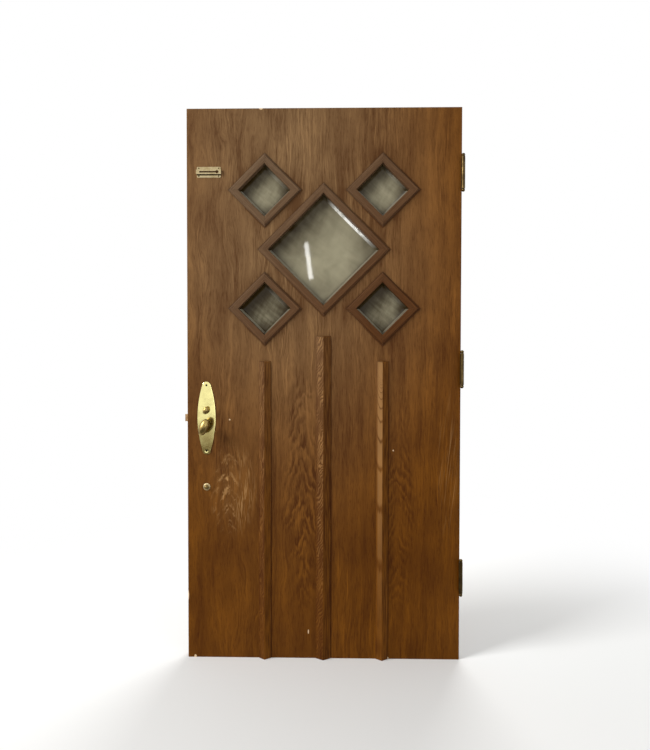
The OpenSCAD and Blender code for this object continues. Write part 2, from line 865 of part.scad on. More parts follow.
// Deadbolt with a slotted tail that the cam's pin slides in
module deadbolt() {
    pin_rest = knob_x + cam_r * sin(half_throw);
    slot_w = cam_pin_d + 2 * yoke_fit;
    low = turn_z + cam_r * cos(half_throw) - cam_pin_d / 2 - yoke_fit;
    high = turn_z + cam_r + cam_pin_d / 2 + yoke_fit;
    head_end = case_x + case_wall + dead_throw + 9;
    color(brass) difference() {
        union() {
            block(free_x + slide_fit, head_end, -dead_t / 2, dead_t / 2,
                turn_z - dead_h / 2, turn_z + dead_h / 2);
            block(head_end - lap, pin_rest + slot_w / 2 + 4, -dead_tail_t / 2, dead_tail_t / 2,
                low - 3, high + 3);
        }
        block(pin_rest - slot_w / 2, pin_rest + slot_w / 2, -dead_t, dead_t, low, high);
    }
}

module knob_hub() {
    color(brass) translate([knob_x, 0, knob_z]) difference() {
        union() {
            rod_y(hub_d, -inner_y + slide_fit, inner_y - slide_fit);
            rod_y(trunnion_d, -case_t / 2, case_t / 2);
            block(-hub_arm_w / 2, hub_arm_w / 2, -tail_t / 2, tail_t / 2, hub_d / 2 - 2, hub_arm);
        }
        square_y(spindle_a + 2 * snug_fit, -case_t, case_t);
    }
}

module turn_cam() {
    color(brass) translate([knob_x, 0, turn_z]) difference() {
        union() {
            rod_y(cam_hub_d, -case_t / 2, cam_y + cam_t);
            rotate([0, half_throw, 0]) {
                block(-cam_pin_d / 2, cam_pin_d / 2, cam_y, cam_y + cam_t, 0, cam_r);
                translate([0, 0, cam_r]) rod_y(cam_pin_d, cam_y, dead_tail_t / 2 + 1);
            }
        }
        square_y(turn_a + 2 * snug_fit, -case_t, cam_y + cam_t + cut);
    }
}

module spindle() {
    color(steel) translate([knob_x, 0, knob_z]) square_y(spindle_a, -spindle_end, spindle_end);
}

// Knob drawn for the room side: shank through the plate, flare in front of it, leaning oval head
module knob() {
    difference() {
        union() {
            rod_y(shank_d, -knob_mid, -shank_in);
            translate([0, -plate_front - slide_fit - flare_l, 0]) rotate([-90, 0, 0])
                cylinder(d1 = shank_d, d2 = flare_d, h = flare_l);
            translate([0, -knob_mid, 0]) rotate([0, knob_lean, 0])
                oval_turned(knob_l, knob_w, knob_tip);
        }
        square_y(spindle_a + 2 * snug_fit, -spindle_end - slide_fit, 0);
        translate([0, -set_at, 0]) cylinder(d = set_d + 2 * snug_fit, h = shank_d);
    }
}

module room_knob() {
    color(brass) translate([knob_x, 0, knob_z]) knob();
}

module street_knob() {
    color(brass) translate([knob_x, 0, knob_z]) mirror([0, 1, 0]) knob();
}

module knob_set_screws() {
    seat = spindle_a / 2 + snug_fit;
    color(steel) translate([knob_x, 0, knob_z]) for (s = [-1, 1])
        translate([0, s * set_at, seat]) cylinder(d = set_d, h = shank_d / 2 - seat - 0.5);
}

// Escutcheon drawn on the room face
module escutcheon() {
    screw_at = plate_l / 2 - plate_screw_edge;
    difference() {
        along_y(-plate_front, room_y) oval(plate_l, plate_w, plate_tip);
        for (s = [-1, 1]) translate([0, -plate_front, s * screw_at]) from_room()
            screw_room(plate_screw_d, plate_head_d, plate_screw_l);
        translate([0, 0, -knob_drop]) rod_y(shank_d + 2 * run_fit, -plate_front - cut, 0);
    }
}

module room_escutcheon() {
    color(brass) translate([knob_x, 0, lock_z]) difference() {
        escutcheon();
        translate([0, 0, turn_rise]) rod_y(turn_shank_d + 2 * run_fit, -plate_front - cut, 0);
    }
}

module street_escutcheon() {
    color(brass) translate([knob_x, 0, lock_z]) difference() {
        mirror([0, 1, 0]) escutcheon();
        translate([0, 0, turn_rise]) rod_y(cyl_d + 2 * snug_fit, 0, plate_front + cut);
    }
}

module escutcheon_screws() {
    screw_at = plate_l / 2 - plate_screw_edge;
    color(brass) translate([knob_x, 0, lock_z]) for (s = [-1, 1]) {
        translate([0, -plate_front, s * screw_at]) from_room()
            screw(plate_screw_d, plate_head_d, plate_screw_l);
        translate([0, plate_front, s * screw_at]) from_street()
            screw(plate_screw_d, plate_head_d, plate_screw_l);
    }
}

module turn_knob() {
    color(brass) translate([knob_x, 0, turn_z]) {
        rod_y(turn_shank_d, -turn_mid, room_y + lap);
        square_y(turn_a, -turn_mid, cam_y + cam_t);
        translate([0, -turn_mid, 0]) rotate([0, knob_lean, 0])
            oval_turned(turn_l, turn_w, turn_tip);
    }
}

module lock_cylinder() {
    color(brass) translate([knob_x, 0, turn_z]) difference() {
        union() {
            rod_y(cyl_d, inner_y, plate_front + cyl_rim_h);
            rod_y(cyl_rim_d, plate_front, plate_front + cyl_rim_h);
        }
        rod_y(plug_d + 2 * run_fit, 0, plate_front + cyl_rim_h + cut);
    }
}

// Plug with its keyway, and the cam on its inner end
module cylinder_plug() {
    color(brass) translate([knob_x, 0, turn_z]) difference() {
        union() {
            rod_y(plug_d, plug_cam_y, plate_front + cyl_rim_h);
            rod_y(plug_d + 2, plug_cam_y, plug_cam_y + plug_cam_t);
            block(-plug_d / 4, plug_d / 4, plug_cam_y, plug_cam_y + plug_cam_t, -plug_d, 0);
        }
        block(-key_w / 2, key_w / 2, plate_front + cyl_rim_h - key_depth,
            plate_front + cyl_rim_h + cut, -key_h / 2, key_h / 2);
    }
}

// Chain guard: two screwed flanges and a raised channel with a slot and an entry hole
module guard_flanges() {
    l = guard_l - 2 * guard_inset;
    along_y(room_y - sheet_t, room_y) difference() {
        union() {
            square([l - 2 * guard_corner, guard_h], center = true);
            square([l, guard_h - 2 * guard_corner], center = true);
            for (sx = [-1, 1], sz = [-1, 1])
                translate([sx * (l / 2 - guard_corner), sz * (guard_h / 2 - guard_corner)])
                    circle(r = guard_corner);
        }
        square([guard_l + cut, channel_h - 2 * sheet_t], center = true);
    }
}

module chain_guard_plate() {
    front = room_y - channel_proud;
    color(brass) difference() {
        translate([guard_x, 0, guard_z]) {
            guard_flanges();
            difference() {
                block(-guard_l / 2, guard_l / 2, front, room_y, -channel_h / 2, channel_h / 2);
                block(sheet_t - guard_l / 2, guard_l / 2 - sheet_t, front + sheet_t, room_y + cut,
                    sheet_t - channel_h / 2, channel_h / 2 - sheet_t);
                along_y(front - cut, front + sheet_t + cut) {
                    square([slot_l, slot_h], center = true);
                    translate([-slot_l / 2, 0]) circle(d = slot_h);
                    translate([slot_l / 2, 0]) circle(d = entry_d);
                }
            }
        }
        guard_screw_places() screw_room(guard_screw_d, guard_head_d, guard_screw_l);
    }
}

module chain_guard_screws() {
    color(old_brass) guard_screw_places() screw(guard_screw_d, guard_head_d, guard_screw_l);
}

// Mortise bolt
module bolt_hole(grow) {
    block(free_x - cut, bolt_case_x + bolt_wall + cut, -bolt_t / 2 - grow, bolt_t / 2 + grow,
        -bolt_h / 2 - grow, bolt_h / 2 + grow);
}

module bolt_case() {
    middle = (bolt_case_high - bolt_case_low) / 2;
    color(steel) translate([0, 0, bolt_z]) difference() {
        union() {
            block(free_x, bolt_case_x, -bolt_front_w / 2, bolt_front_w / 2,
                middle - bolt_front_h / 2, middle + bolt_front_h / 2);
            block(bolt_case_x - lap, bolt_case_end, -bolt_inner, bolt_case_t / 2,
                -bolt_case_low, bolt_case_high);
        }
        block(bolt_case_x + bolt_wall, bolt_case_end - bolt_wall, -bolt_inner - cut, bolt_inner,
            bolt_wall - bolt_case_low, bolt_case_high - bolt_wall);
        bolt_hole(slide_fit);
        translate([knob_x, 0, 0]) rod_y(bolt_pivot_d + 2 * run_fit, 0, bolt_case_t);
        for (s = [-1, 1])
            translate([free_x, 0, middle + s * (bolt_front_h / 2 - front_screw_edge)])
                from_free_edge() screw_room(plate_screw_d, plate_head_d, front_screw_l);
    }
}

module bolt_cover() {
    color(steel) translate([0, 0, bolt_z]) difference() {
        block(bolt_case_x, bolt_case_end, -bolt_case_t / 2, -bolt_inner,
            -bolt_case_low, bolt_case_high);
        translate([knob_x, 0, 0]) rod_y(bolt_hub_d + 2 * run_fit, -bolt_case_t, 0);
    }
}

module bolt_front_screws() {
    middle = bolt_z + (bolt_case_high - bolt_case_low) / 2;
    color(brass) for (s = [-1, 1])
        translate([free_x, 0, middle + s * (bolt_front_h / 2 - front_screw_edge)])
            from_free_edge() screw(plate_screw_d, plate_head_d, front_screw_l);
}

module bolt() {
    pin_rest = knob_x + crank_r * sin(half_throw);
    slot_w = crank_pin_d + 2 * yoke_fit;
    head_end = bolt_case_x + bolt_wall + bolt_throw + 9;
    color(brass) translate([0, 0, bolt_z]) difference() {
        union() {
            block(free_x + slide_fit, head_end, -bolt_t / 2, bolt_t / 2, -bolt_h / 2, bolt_h / 2);
            block(head_end - lap, pin_rest + slot_w / 2 + 4, yoke_y, yoke_y + yoke_t,
                yoke_low, yoke_high);
        }
        block(pin_rest - slot_w / 2, pin_rest + slot_w / 2, yoke_y - cut, yoke_y + yoke_t + cut,
            yoke_low - cut, crank_r + crank_pin_d / 2 + yoke_fit);
    }
}

module bolt_hub() {
    color(brass) translate([knob_x, 0, bolt_z]) difference() {
        union() {
            rod_y(bolt_hub_d, -bolt_case_t / 2, crank_y + crank_t);
            rod_y(bolt_pivot_d, crank_y, bolt_case_t / 2);
            rotate([0, half_throw, 0]) {
                block(-crank_pin_d / 2, crank_pin_d / 2, crank_y, crank_y + crank_t, 0, crank_r);
                translate([0, 0, crank_r]) rod_y(crank_pin_d, crank_y, yoke_y + yoke_t);
            }
        }
        square_y(turn_a + 2 * snug_fit, -bolt_case_t, bolt_socket_end);
    }
}

// Small turn: a button head on a shank, with a square spindle into the hub
module bolt_turn() {
    top = room_y - rose_t - button_out;
    dome = button_d / 2;
    color(brass) translate([knob_x, 0, bolt_z]) {
        rod_y(button_shank_d, top + dome / 2, room_y + lap);
        square_y(turn_a, top + dome / 2, bolt_socket_end - slide_fit);
        translate([0, top + dome, 0]) rotate([90, 0, 0]) rotate_extrude() {
            intersection() {
                circle(r = dome);
                square(dome);
            }
            translate([0, -button_lip]) square([dome, button_lip + snug_fit]);
        }
    }
}

module bolt_rose() {
    color(brass) translate([knob_x, 0, bolt_z]) difference() {
        union() {
            rod_y(rose_d, room_y - rose_t / 2, room_y);
            rod_y(rose_d - 5, room_y - rose_t, room_y);
        }
        rod_y(button_shank_d + 2 * run_fit, room_y - rose_t - cut, room_y + cut);
    }
}

door_slab();
ridge_moulding_centre();
ridge_moulding_left();
ridge_moulding_right();
room_frame(0, 0, centre_sight);  // lite_frame_centre
room_frame(-1, 1, small_sight);  // lite_frame_upper_left
room_frame(1, 1, small_sight);  // lite_frame_upper_right
room_frame(-1, -1, small_sight);  // lite_frame_lower_left
room_frame(1, -1, small_sight);  // lite_frame_lower_right
street_frame(0, 0, centre_sight);  // street_frame_centre
street_frame(-1, 1, small_sight);  // street_frame_upper_left
street_frame(1, 1, small_sight);  // street_frame_upper_right
street_frame(-1, -1, small_sight);  // street_frame_lower_left
street_frame(1, -1, small_sight);  // street_frame_lower_right
pane(0, 0, centre_sight);  // glass_centre
pane(-1, 1, small_sight);  // glass_upper_left
pane(1, 1, small_sight);  // glass_upper_right
pane(-1, -1, small_sight);  // glass_lower_left
pane(1, -1, small_sight);  // glass_lower_right
door_leaf(0);  // hinge_top_door_leaf
door_leaf(1);  // hinge_middle_door_leaf
door_leaf(2);  // hinge_bottom_door_leaf
jamb_leaf(0);  // hinge_top_jamb_leaf
jamb_leaf(1);  // hinge_middle_jamb_leaf
jamb_leaf(2);  // hinge_bottom_jamb_leaf
hinge_pin(0);  // hinge_top_pin
hinge_pin(1);  // hinge_middle_pin
hinge_pin(2);  // hinge_bottom_pin
hinge_ball_plugs();
hinge_screws();
lock_case();
lock_cover();
lock_front();
lock_front_screws();
latch_bolt();
latch_spring();
deadbolt();
knob_hub();
turn_cam();
spindle();
room_knob();
street_knob();
knob_set_screws();
room_escutcheon();
street_escutcheon();
escutcheon_screws();
turn_knob();
lock_cylinder();
cylinder_plug();
chain_guard_plate();
chain_guard_screws();
bolt_case();
bolt_cover();
bolt_front_screws();
bolt();
bolt_hub();
bolt_turn();
bolt_rose();
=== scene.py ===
"""Finishes and studio stage for a stained oak entry door leaf with five diamond lites."""

import math

import bmesh
import bpy
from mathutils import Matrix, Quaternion, Vector


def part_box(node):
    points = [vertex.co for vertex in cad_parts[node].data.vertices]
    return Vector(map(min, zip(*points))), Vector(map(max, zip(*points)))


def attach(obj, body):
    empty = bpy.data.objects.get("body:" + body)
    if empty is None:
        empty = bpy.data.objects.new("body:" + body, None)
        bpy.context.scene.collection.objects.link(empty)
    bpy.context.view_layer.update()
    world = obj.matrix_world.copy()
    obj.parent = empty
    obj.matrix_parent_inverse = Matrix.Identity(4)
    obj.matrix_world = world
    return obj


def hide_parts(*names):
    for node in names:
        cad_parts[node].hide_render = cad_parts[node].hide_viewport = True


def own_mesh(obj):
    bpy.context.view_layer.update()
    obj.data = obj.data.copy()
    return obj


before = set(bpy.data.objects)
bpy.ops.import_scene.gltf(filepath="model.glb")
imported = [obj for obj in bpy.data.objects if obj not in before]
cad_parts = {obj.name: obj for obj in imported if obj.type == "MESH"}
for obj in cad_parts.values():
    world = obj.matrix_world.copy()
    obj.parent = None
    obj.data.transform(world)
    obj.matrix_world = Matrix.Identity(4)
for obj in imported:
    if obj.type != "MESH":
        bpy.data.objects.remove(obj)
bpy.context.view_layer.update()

bl_info = {
    "name": "Oak Entry Door",
    "version": (1, 0, 0),
    "blender": (4, 5, 0),
    "location": "3D View > Sidebar > Oak Door",
    "description": "Finishes and stage for a stained oak entry door leaf with diamond lites",
    "category": "Object",
}

# The lites, with the weight of the dust on their glass, how far it has drawn together, and how strong
# # the painted highlight on their upper right bevel is
LITES = {"centre": (0.9, 1.0, 0.97), "upper_left": (0.8, 1.5, 0.1), "upper_right": (0.78, 1.4, 0.1),
         "lower_left": (0.47, 2.6, 0.06), "lower_right": (0.55, 2.2, 0.06)}

# The ridge mouldings, with how far their crests are rubbed paler on the lock side, partly wear and
# # partly a painted sheen, how far their streaks climb across them, and how dark their hinge sides are
# # painted, as painted shade
RIDGES = {"left": (0.16, 7, 0.448), "centre": (0.42, 2.2, 0.54), "right": (0.36, 0, 0.46)}

# What lies before this Y, in mm, belongs to the room face
ROOM_SIDE = -18
# Where the finish is worn beside the lock, and scratched by the hinge edge: middles and reaches in mm, at
# any depth
WORN = ((-352, 0, 660), (95, 0, 190))
SCRATCHED = ((482, 0, 760), (44, 0, 310))
# Chips down to bare wood: middles and half sizes in mm
CHIPS = (
    ((-365, -22, 935), (3, 3, 3)), ((271, -22, 817), (3, 3, 3)), ((-58, -22, 104), (2.2, 3, 9)),
    ((-502, -22, 3), (5, 6, 7)), ((250, -22, 3), (6, 6, 5)), ((-242, -22, 2136), (7, 9, 5)),
    ((-530, -21, 245), (4, 3, 20)),
)
# Painted shadow and dirt at the ridges' feet, painted shade on the frames' sides and the brass, a painted
# # highlight along the panes' lower edges, and the painted highlight of the bevel's glint
RIDGE_FOOT_SHADOW_AND_DIRT = "#1a1007"
FRAME_SIDE_SHADE = "#1d120a"
BRASS_SHADE = "#2a1d0e"
PANE_EDGE_GLINT = "#c4bea6"
BEVEL_GLINT = "#f8f7ef"

# How far inside a pane's corners its sight size and its bevel's inner edge lie, in mm
SIGHT_INSET = 24
BEVEL_INSET = 32.4

# The mesh of the latch spring's wire
WIRE_SIDES = 8
STEPS_A_TURN = 14

# The camera, fitted to the photograph: place in m, turn in degrees
CAMERA_PLACE = (0.0529, -2.4258, 1.1650)
CAMERA_TURN = (88.6833, -0.0793, 1.1196)


def linear(hex_colour):
    """An sRGB hex colour as linear red, green and blue."""
    parts = [int(hex_colour[i:i + 2], 16) / 255 for i in (1, 3, 5)]
    return tuple(p / 12.92 if p <= 0.04045 else ((p + 0.055) / 1.055) ** 2.4 for p in parts)


def add(tree, kind, *values, out=0, stops=(), **settings):
    """Adds a shader node with its settings, and gives one of its outputs. The values are its inputs in
    order, or one dictionary of them: a socket is linked, any other value is set."""
    node = tree.nodes.new("ShaderNode" + kind)
    for name, value in settings.items():
        setattr(node, name, value)
    by_name = values and isinstance(values[0], dict)
    for key, value in values[0].items() if by_name else enumerate(values):
        if isinstance(value, bpy.types.NodeSocket):
            tree.links.new(value, node.inputs[key])
        else:
            node.inputs[key].default_value = value
    for i, (position, colour) in enumerate(stops):
        ramp = node.color_ramp.elements
        stop = ramp[i] if i < 2 else ramp.new(position)
        stop.position = position
        stop.color = (*colour, 1)
    return node.outputs[out] if node.outputs else None


def new_material(name):
    """A bare material and its node tree."""
    material = bpy.data.materials.new(name)
    material.use_nodes = True
    material.node_tree.nodes.clear()
    return material, material.node_tree


def dress(material, *nodes):
    """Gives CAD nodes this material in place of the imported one."""
    for name in nodes:
        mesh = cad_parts[name].data
        mesh.materials.clear()
        mesh.materials.append(material)


def ease(name, width):
    """Rounds the sharp edges of a CAD node, as polishing leaves them, once its loose triangles are
    joined."""
    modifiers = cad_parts[name].modifiers
    modifiers.new("joined_triangles", "WELD").merge_threshold = 0.000002
    rounding = modifiers.new("eased_edges", "BEVEL")
    rounding.width = width
    rounding.segments = 2
    rounding.limit_method = "ANGLE"
    rounding.angle_limit = math.radians(50)


def span_mm(name):
    """The middle of a CAD node's box and half its size, in mm."""
    low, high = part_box(name)
    return (low + high) * 500, (high - low) * 500


def new_piece(scene, name, shape):
    """A new object in the scene, made of a bmesh, which is freed."""
    mesh = bpy.data.meshes.new(name)
    shape.to_mesh(mesh)
    shape.free()
    piece = bpy.data.objects.new(name, mesh)
    scene.collection.objects.link(piece)
    return piece


def grey(value):
    """A grey as linear red, green and blue."""
    return (value, value, value)


class OakLooks(bpy.types.PropertyGroup):
    rich: bpy.props.FloatVectorProperty(
        name="Rich stain", description="Oak where the brown stain is still full, low and by the hinges",
        subtype="COLOR", min=0, max=1, default=linear("#5e3506"))
    # This colour also carries painted light: it is laid high up and left of the middle, where the light from
    # the upper left falls
    faded_and_lit: bpy.props.FloatVectorProperty(
        name="Faded stain", description="Oak where the light has bleached the stain, high and by the lock",
        subtype="COLOR", min=0, max=1, default=linear("#785e41"))
    worn: bpy.props.FloatVectorProperty(
        name="Worn pores", description="Pale pores where hands have worn the finish off by the lock",
        subtype="COLOR", min=0, max=1, default=linear("#b48a57"))
    bare: bpy.props.FloatVectorProperty(
        name="Bare oak", description="Raw wood where the finish has chipped off",
        subtype="COLOR", min=0, max=1, default=linear("#d9bd95"))
    arch: bpy.props.FloatProperty(
        name="Arch spacing", description="Upright spacing of the arches in the grain",
        unit="LENGTH", min=0.005, max=0.2, default=0.076)


class FrameLooks(bpy.types.PropertyGroup):
    # The bleached colour is also painted light, laid towards the upper left where the light falls
    pale: bpy.props.FloatVectorProperty(
        name="Frame, bleached", description="Lite frames where the light has bleached them, upper left",
        subtype="COLOR", min=0, max=1, default=linear("#654f3a"))
    dark: bpy.props.FloatVectorProperty(
        name="Frame, dark", description="Lite frames where the stain is full, lower right",
        subtype="COLOR", min=0, max=1, default=linear("#503016"))


class GlassLooks(bpy.types.PropertyGroup):
    film: bpy.props.FloatVectorProperty(
        name="Dust film", description="Thick part of the dusty film on the panes",
        subtype="COLOR", min=0, max=1, default=linear("#a39c80"))
    # Where the film is thin this darker colour shows, also as painted shadow towards each pane's upper left
    clear: bpy.props.FloatVectorProperty(
        name="Thin film", description="Where the film is thin",
        subtype="COLOR", min=0, max=1, default=linear("#362a12"))


class BrassLooks(bpy.types.PropertyGroup):
    plate: bpy.props.FloatVectorProperty(
        name="Polished brass", description="Escutcheons and the other rubbed plates of the lock",
        subtype="COLOR", min=0, max=1, default=linear("#fff4a8"))
    tarnish: bpy.props.FloatVectorProperty(
        name="Brass tarnish", description="Dull patches on the polished brass",
        subtype="COLOR", min=0, max=1, default=linear("#f8eca2"))
    knob: bpy.props.FloatVectorProperty(
        name="Handled brass", description="Knobs and turns, darkened by hands",
        subtype="COLOR", min=0, max=1, default=linear("#a58f57"))
    antique: bpy.props.FloatVectorProperty(
        name="Antique brass", description="Chain guard plate and small turn",
        subtype="COLOR", min=0, max=1, default=linear("#bcab84"))
    aged: bpy.props.FloatVectorProperty(
        name="Aged brass", description="Hinges and old screws",
        subtype="COLOR", min=0, max=1, default=linear("#5a4a2c"))


class SpringSize(bpy.types.PropertyGroup):
    wire: bpy.props.FloatProperty(
        name="Spring wire", description="Diameter of the wire of the latch spring",
        unit="LENGTH", min=0.0005, max=0.002, default=0.0012)
    turns: bpy.props.IntProperty(
        name="Spring turns", description="Turns of the latch spring",
        min=3, max=12, default=8)


class StageLooks(bpy.types.PropertyGroup):
    floor: bpy.props.FloatVectorProperty(
        name="Floor", description="Colour of the studio floor",
        subtype="COLOR", min=0, max=1, default=linear("#f4f4f2"))
    key: bpy.props.FloatProperty(
        name="Key light", description="Power of the large softbox at the upper left",
        subtype="POWER", min=0, max=2000, default=440.0)
    fill: bpy.props.FloatProperty(
        name="Fill light", description="Power of the softbox at the right",
        subtype="POWER", min=0, max=2000, default=22.0)
    back: bpy.props.FloatProperty(
        name="Back light", description="Power of the softbox behind the door",
        subtype="POWER", min=0, max=2000, default=100.0)
    tube: bpy.props.FloatProperty(
        name="Ceiling tube", description="Power of the tube that shows in the glass",
        subtype="POWER", min=0, max=100, default=2.3)
    lens: bpy.props.FloatProperty(
        name="Lens", description="Focal length of the camera",
        unit="CAMERA", min=10, max=200, default=29.76)


class DoorLooks(bpy.types.PropertyGroup):
    oak: bpy.props.PointerProperty(
        name="Oak", description="Stain of the slab and the ridge mouldings", type=OakLooks)
    frames: bpy.props.PointerProperty(
        name="Lite frames", description="Stain of the frames round the lites", type=FrameLooks)
    glass: bpy.props.PointerProperty(
        name="Glass", description="Dust on the bevelled panes", type=GlassLooks)
    brass: bpy.props.PointerProperty(
        name="Brass", description="Finishes of the hinges and the lock trim", type=BrassLooks)
    spring: bpy.props.PointerProperty(
        name="Latch spring", description="Wire and turns of the latch spring", type=SpringSize)
    stage: bpy.props.PointerProperty(
        name="Stage", description="Floor, lights and lens", type=StageLooks)


def mottle(tree, place, across, along, detail=3, roughness=0.5):
    """Soft noise about 0.5 with lumps of the given sizes in mm, across the grain and along Z."""
    lumps = add(tree, "VectorMath", place, (1 / across, 1 / across, 1 / along), operation="MULTIPLY")
    return add(tree, "TexNoise", {"Vector": lumps, "Scale": 1, "Detail": detail, "Roughness": roughness})


def sway(tree, tone, pattern, depth, about=0.5):
    """A tone moved up and down by a pattern that swings about a middle value."""
    swing = add(tree, "Math", pattern, about, operation="SUBTRACT")
    return add(tree, "Math", swing, depth, tone, operation="MULTIPLY_ADD")


def diamond(tree, beside, above):
    """How far out a place lies in a diamond, measured along its diagonals."""
    return add(tree, "Math", add(tree, "Math", beside, operation="ABSOLUTE"),
               add(tree, "Math", above, operation="ABSOLUTE"), operation="ADD")


def spot(tree, place, middle, reach):
    """Distance from a middle in mm, 1 at the reach along each axis. A reach of 0 leaves its axis out."""
    away = add(tree, "VectorMath", place, middle, operation="SUBTRACT")
    away = add(tree, "VectorMath", away, [1 / r if r else 0 for r in reach], operation="MULTIPLY")
    return add(tree, "VectorMath", away, out="Value", operation="LENGTH")


def arm(tree, across):
    """Distance from a heart line in mm, rounded off near it, so that arches have round heads."""
    return add(tree, "Math", add(tree, "Math", across, across, 40, operation="MULTIPLY_ADD"),
               operation="SQRT")


def arches(tree, place, across, height, pitch, steep):
    """Growth lines of flat sawn oak, 0 to 1: feathered arches that point up along a heart line.
    Distances in mm; steep is the slope of their arms."""
    climb = add(tree, "Math", arm(tree, across), steep, height, operation="MULTIPLY_ADD")
    # Each line strays as a whole, and its edges are feathered
    stray = add(tree, "Math", mottle(tree, place, 45, 90, 2), 2.4, mottle(tree, place, 4, 32, 2),
                operation="MULTIPLY_ADD")
    phase = add(tree, "Math", add(tree, "Math", climb, 1 / pitch, stray, operation="MULTIPLY_ADD"),
                operation="FRACT")
    return add(tree, "ValToRGB", phase, stops=((0.0, grey(0.5)), (1.0, grey(0.5)), (0.2, grey(0.0)),
                                               (0.45, grey(0.35)), (0.8, grey(1.0))))


def pore_lines(tree, place):
    """Open pores of oak, 0 to 1: short dark dashes along Z. Real pores are about 0.3 mm wide and 5 to
    20 mm long; they are drawn coarser, from lumps of 3 by 26 mm, so that they show in the render."""
    return add(tree, "MapRange", mottle(tree, place, 3.0, 26, 2), 0.52, 0.68)


def in_mm(tree):
    """Object coordinates in mm, and their X, Y and Z."""
    where = add(tree, "TexCoord", out="Object")
    place = add(tree, "VectorMath", {0: where, "Scale": 1000.0}, operation="SCALE")
    return place, *add(tree, "SeparateXYZ", place).node.outputs


def stain(tree, looks, x, z):
    """Stain of the face: paler high up and left of the middle, partly bleached and partly painted light
    falling from the upper left, rich low down and by the hinges.
    """
    high = add(tree, "MapRange", z, 100, 1600, 0, 0.64, interpolation_type="SMOOTHSTEP")
    aside = add(tree, "Math", x, 0.001, 0.17, operation="MULTIPLY_ADD")
    bleached = add(tree, "Math", high, add(tree, "Math", 0.25,
                                           add(tree, "Math", aside, 2, operation="POWER"),
                                           operation="SUBTRACT"), operation="ADD")
    return add(tree, "Mix", {0: add(tree, "Math", bleached, 2.5, operation="POWER"), 6: (*looks.rich, 1),
                             7: (*looks.faded_and_lit, 1)}, out=2, data_type="RGBA")


def toned(tree, colour, tone):
    """A wood colour made darker and redder, or paler and yellower, by a tone about 0.5."""
    shade = add(tree, "ValToRGB", tone, stops=(
        (0.1, linear("#8e8176")), (0.9, linear("#e7ebec")), (0.5, linear("#bcbcbc"))))
    doubled = add(tree, "VectorMath", {0: shade, "Scale": 2.0}, operation="SCALE")
    return add(tree, "Mix", {0: 1.0, 6: colour, 7: doubled}, out=2, data_type="RGBA",
               blend_type="MULTIPLY")


def varnish(tree, colour, tone, height):
    """Old satin varnish over wood: low uneven gloss, with the grain just felt through it."""
    rough = add(tree, "MapRange", tone, 0.2, 0.8, 0.56, 0.4)
    bump = add(tree, "Bump", {"Strength": 0.2, "Distance": 0.0005, "Height": height}, invert=True)
    return add(tree, "BsdfPrincipled", {"Base Color": colour, "Roughness": rough, "Normal": bump,
                                        "IOR": 1.5, "Specular IOR Level": 0.07})


def veneer(tree, place, x, y, z):
    """Tone of the veneer: soft wavy upright streaks, pale bands, dark lines and open pores. Gives the
    tone, X bent with the grain, the fine streaks and the pores."""
    # The grain waves most on the lock side
    wave = add(tree, "MapRange", x, -480, 150, 95, 35)
    bent = sway(tree, x, mottle(tree, place, 75, 230, 2), wave)
    waved = add(tree, "CombineXYZ", bent, y, z)
    fine = mottle(tree, waved, 7, 80, 4, 0.6)
    pores = pore_lines(tree, place)
    # The grain is calmer low on the door
    lively = add(tree, "MapRange", z, 650, 1350, 0.62, 0.9)
    figured = add(tree, "MapRange", mottle(tree, place, 110, 330, 2), 0.4, 0.62, 0.3, 1.1)
    lively = add(tree, "Math", lively, figured, operation="MULTIPLY")
    tone = sway(tree, 0.51, mottle(tree, waved, 30, 330, 3, 0.55), 0.85)
    tone = sway(tree, tone, fine, lively)
    tone = sway(tree, tone, mottle(tree, place, 150, 260, 3, 0.55), 0.8)
    tone = add(tree, "Math", pores, -0.18, tone, operation="MULTIPLY_ADD")
    # Pale streaks, gathered in some bands of the veneer
    streak = add(tree, "MapRange", mottle(tree, waved, 6, 190, 3), 0.54, 0.7)
    band = add(tree, "MapRange", mottle(tree, waved, 70, 620, 2), 0.46, 0.58, 0, 0.5)
    tone = add(tree, "Math", add(tree, "Math", streak, lively, operation="MULTIPLY"), band, tone,
               operation="MULTIPLY_ADD")
    # Dark lines where the grain is figured
    dark = add(tree, "MapRange", mottle(tree, waved, 5, 240, 2), 0.56, 0.7, 0, -0.22)
    tone = add(tree, "Math", dark, lively, tone, operation="MULTIPLY_ADD")
    return tone, bent, fine, pores


def arched(tree, tone, place, bent, z, shown, pitch):
    """A tone with arched grain in the panel left of the middle, its arches a pitch apart in mm, and with
    long faint arches by the hinges."""
    # Heart line, reach to each side, middle and half of the height, pitch, slope of the arms, depth
    for heart, reach, middle, half, apart, steep, depth in (
        (-76, 88, 660, 520, pitch, 2.9, 0.72), (288, 75, 570, 470, 50, 1.7, 0.42),
    ):
        across = add(tree, "Math", bent, heart, operation="SUBTRACT")
        lines = arches(tree, place, across, z, apart, steep)
        beside = add(tree, "Math", across, reach, operation="DIVIDE")
        above = add(tree, "Math", add(tree, "Math", z, middle, operation="SUBTRACT"), half,
                    operation="DIVIDE")
        away = add(tree, "Math", beside, beside, add(tree, "Math", above, above, operation="MULTIPLY"),
                   operation="MULTIPLY_ADD")
        drawn = add(tree, "MapRange", away, 1.0, 0.15, 0, depth)
        tone = sway(tree, tone, lines, add(tree, "Math", drawn, shown, operation="MULTIPLY"), 0.55)
    return tone


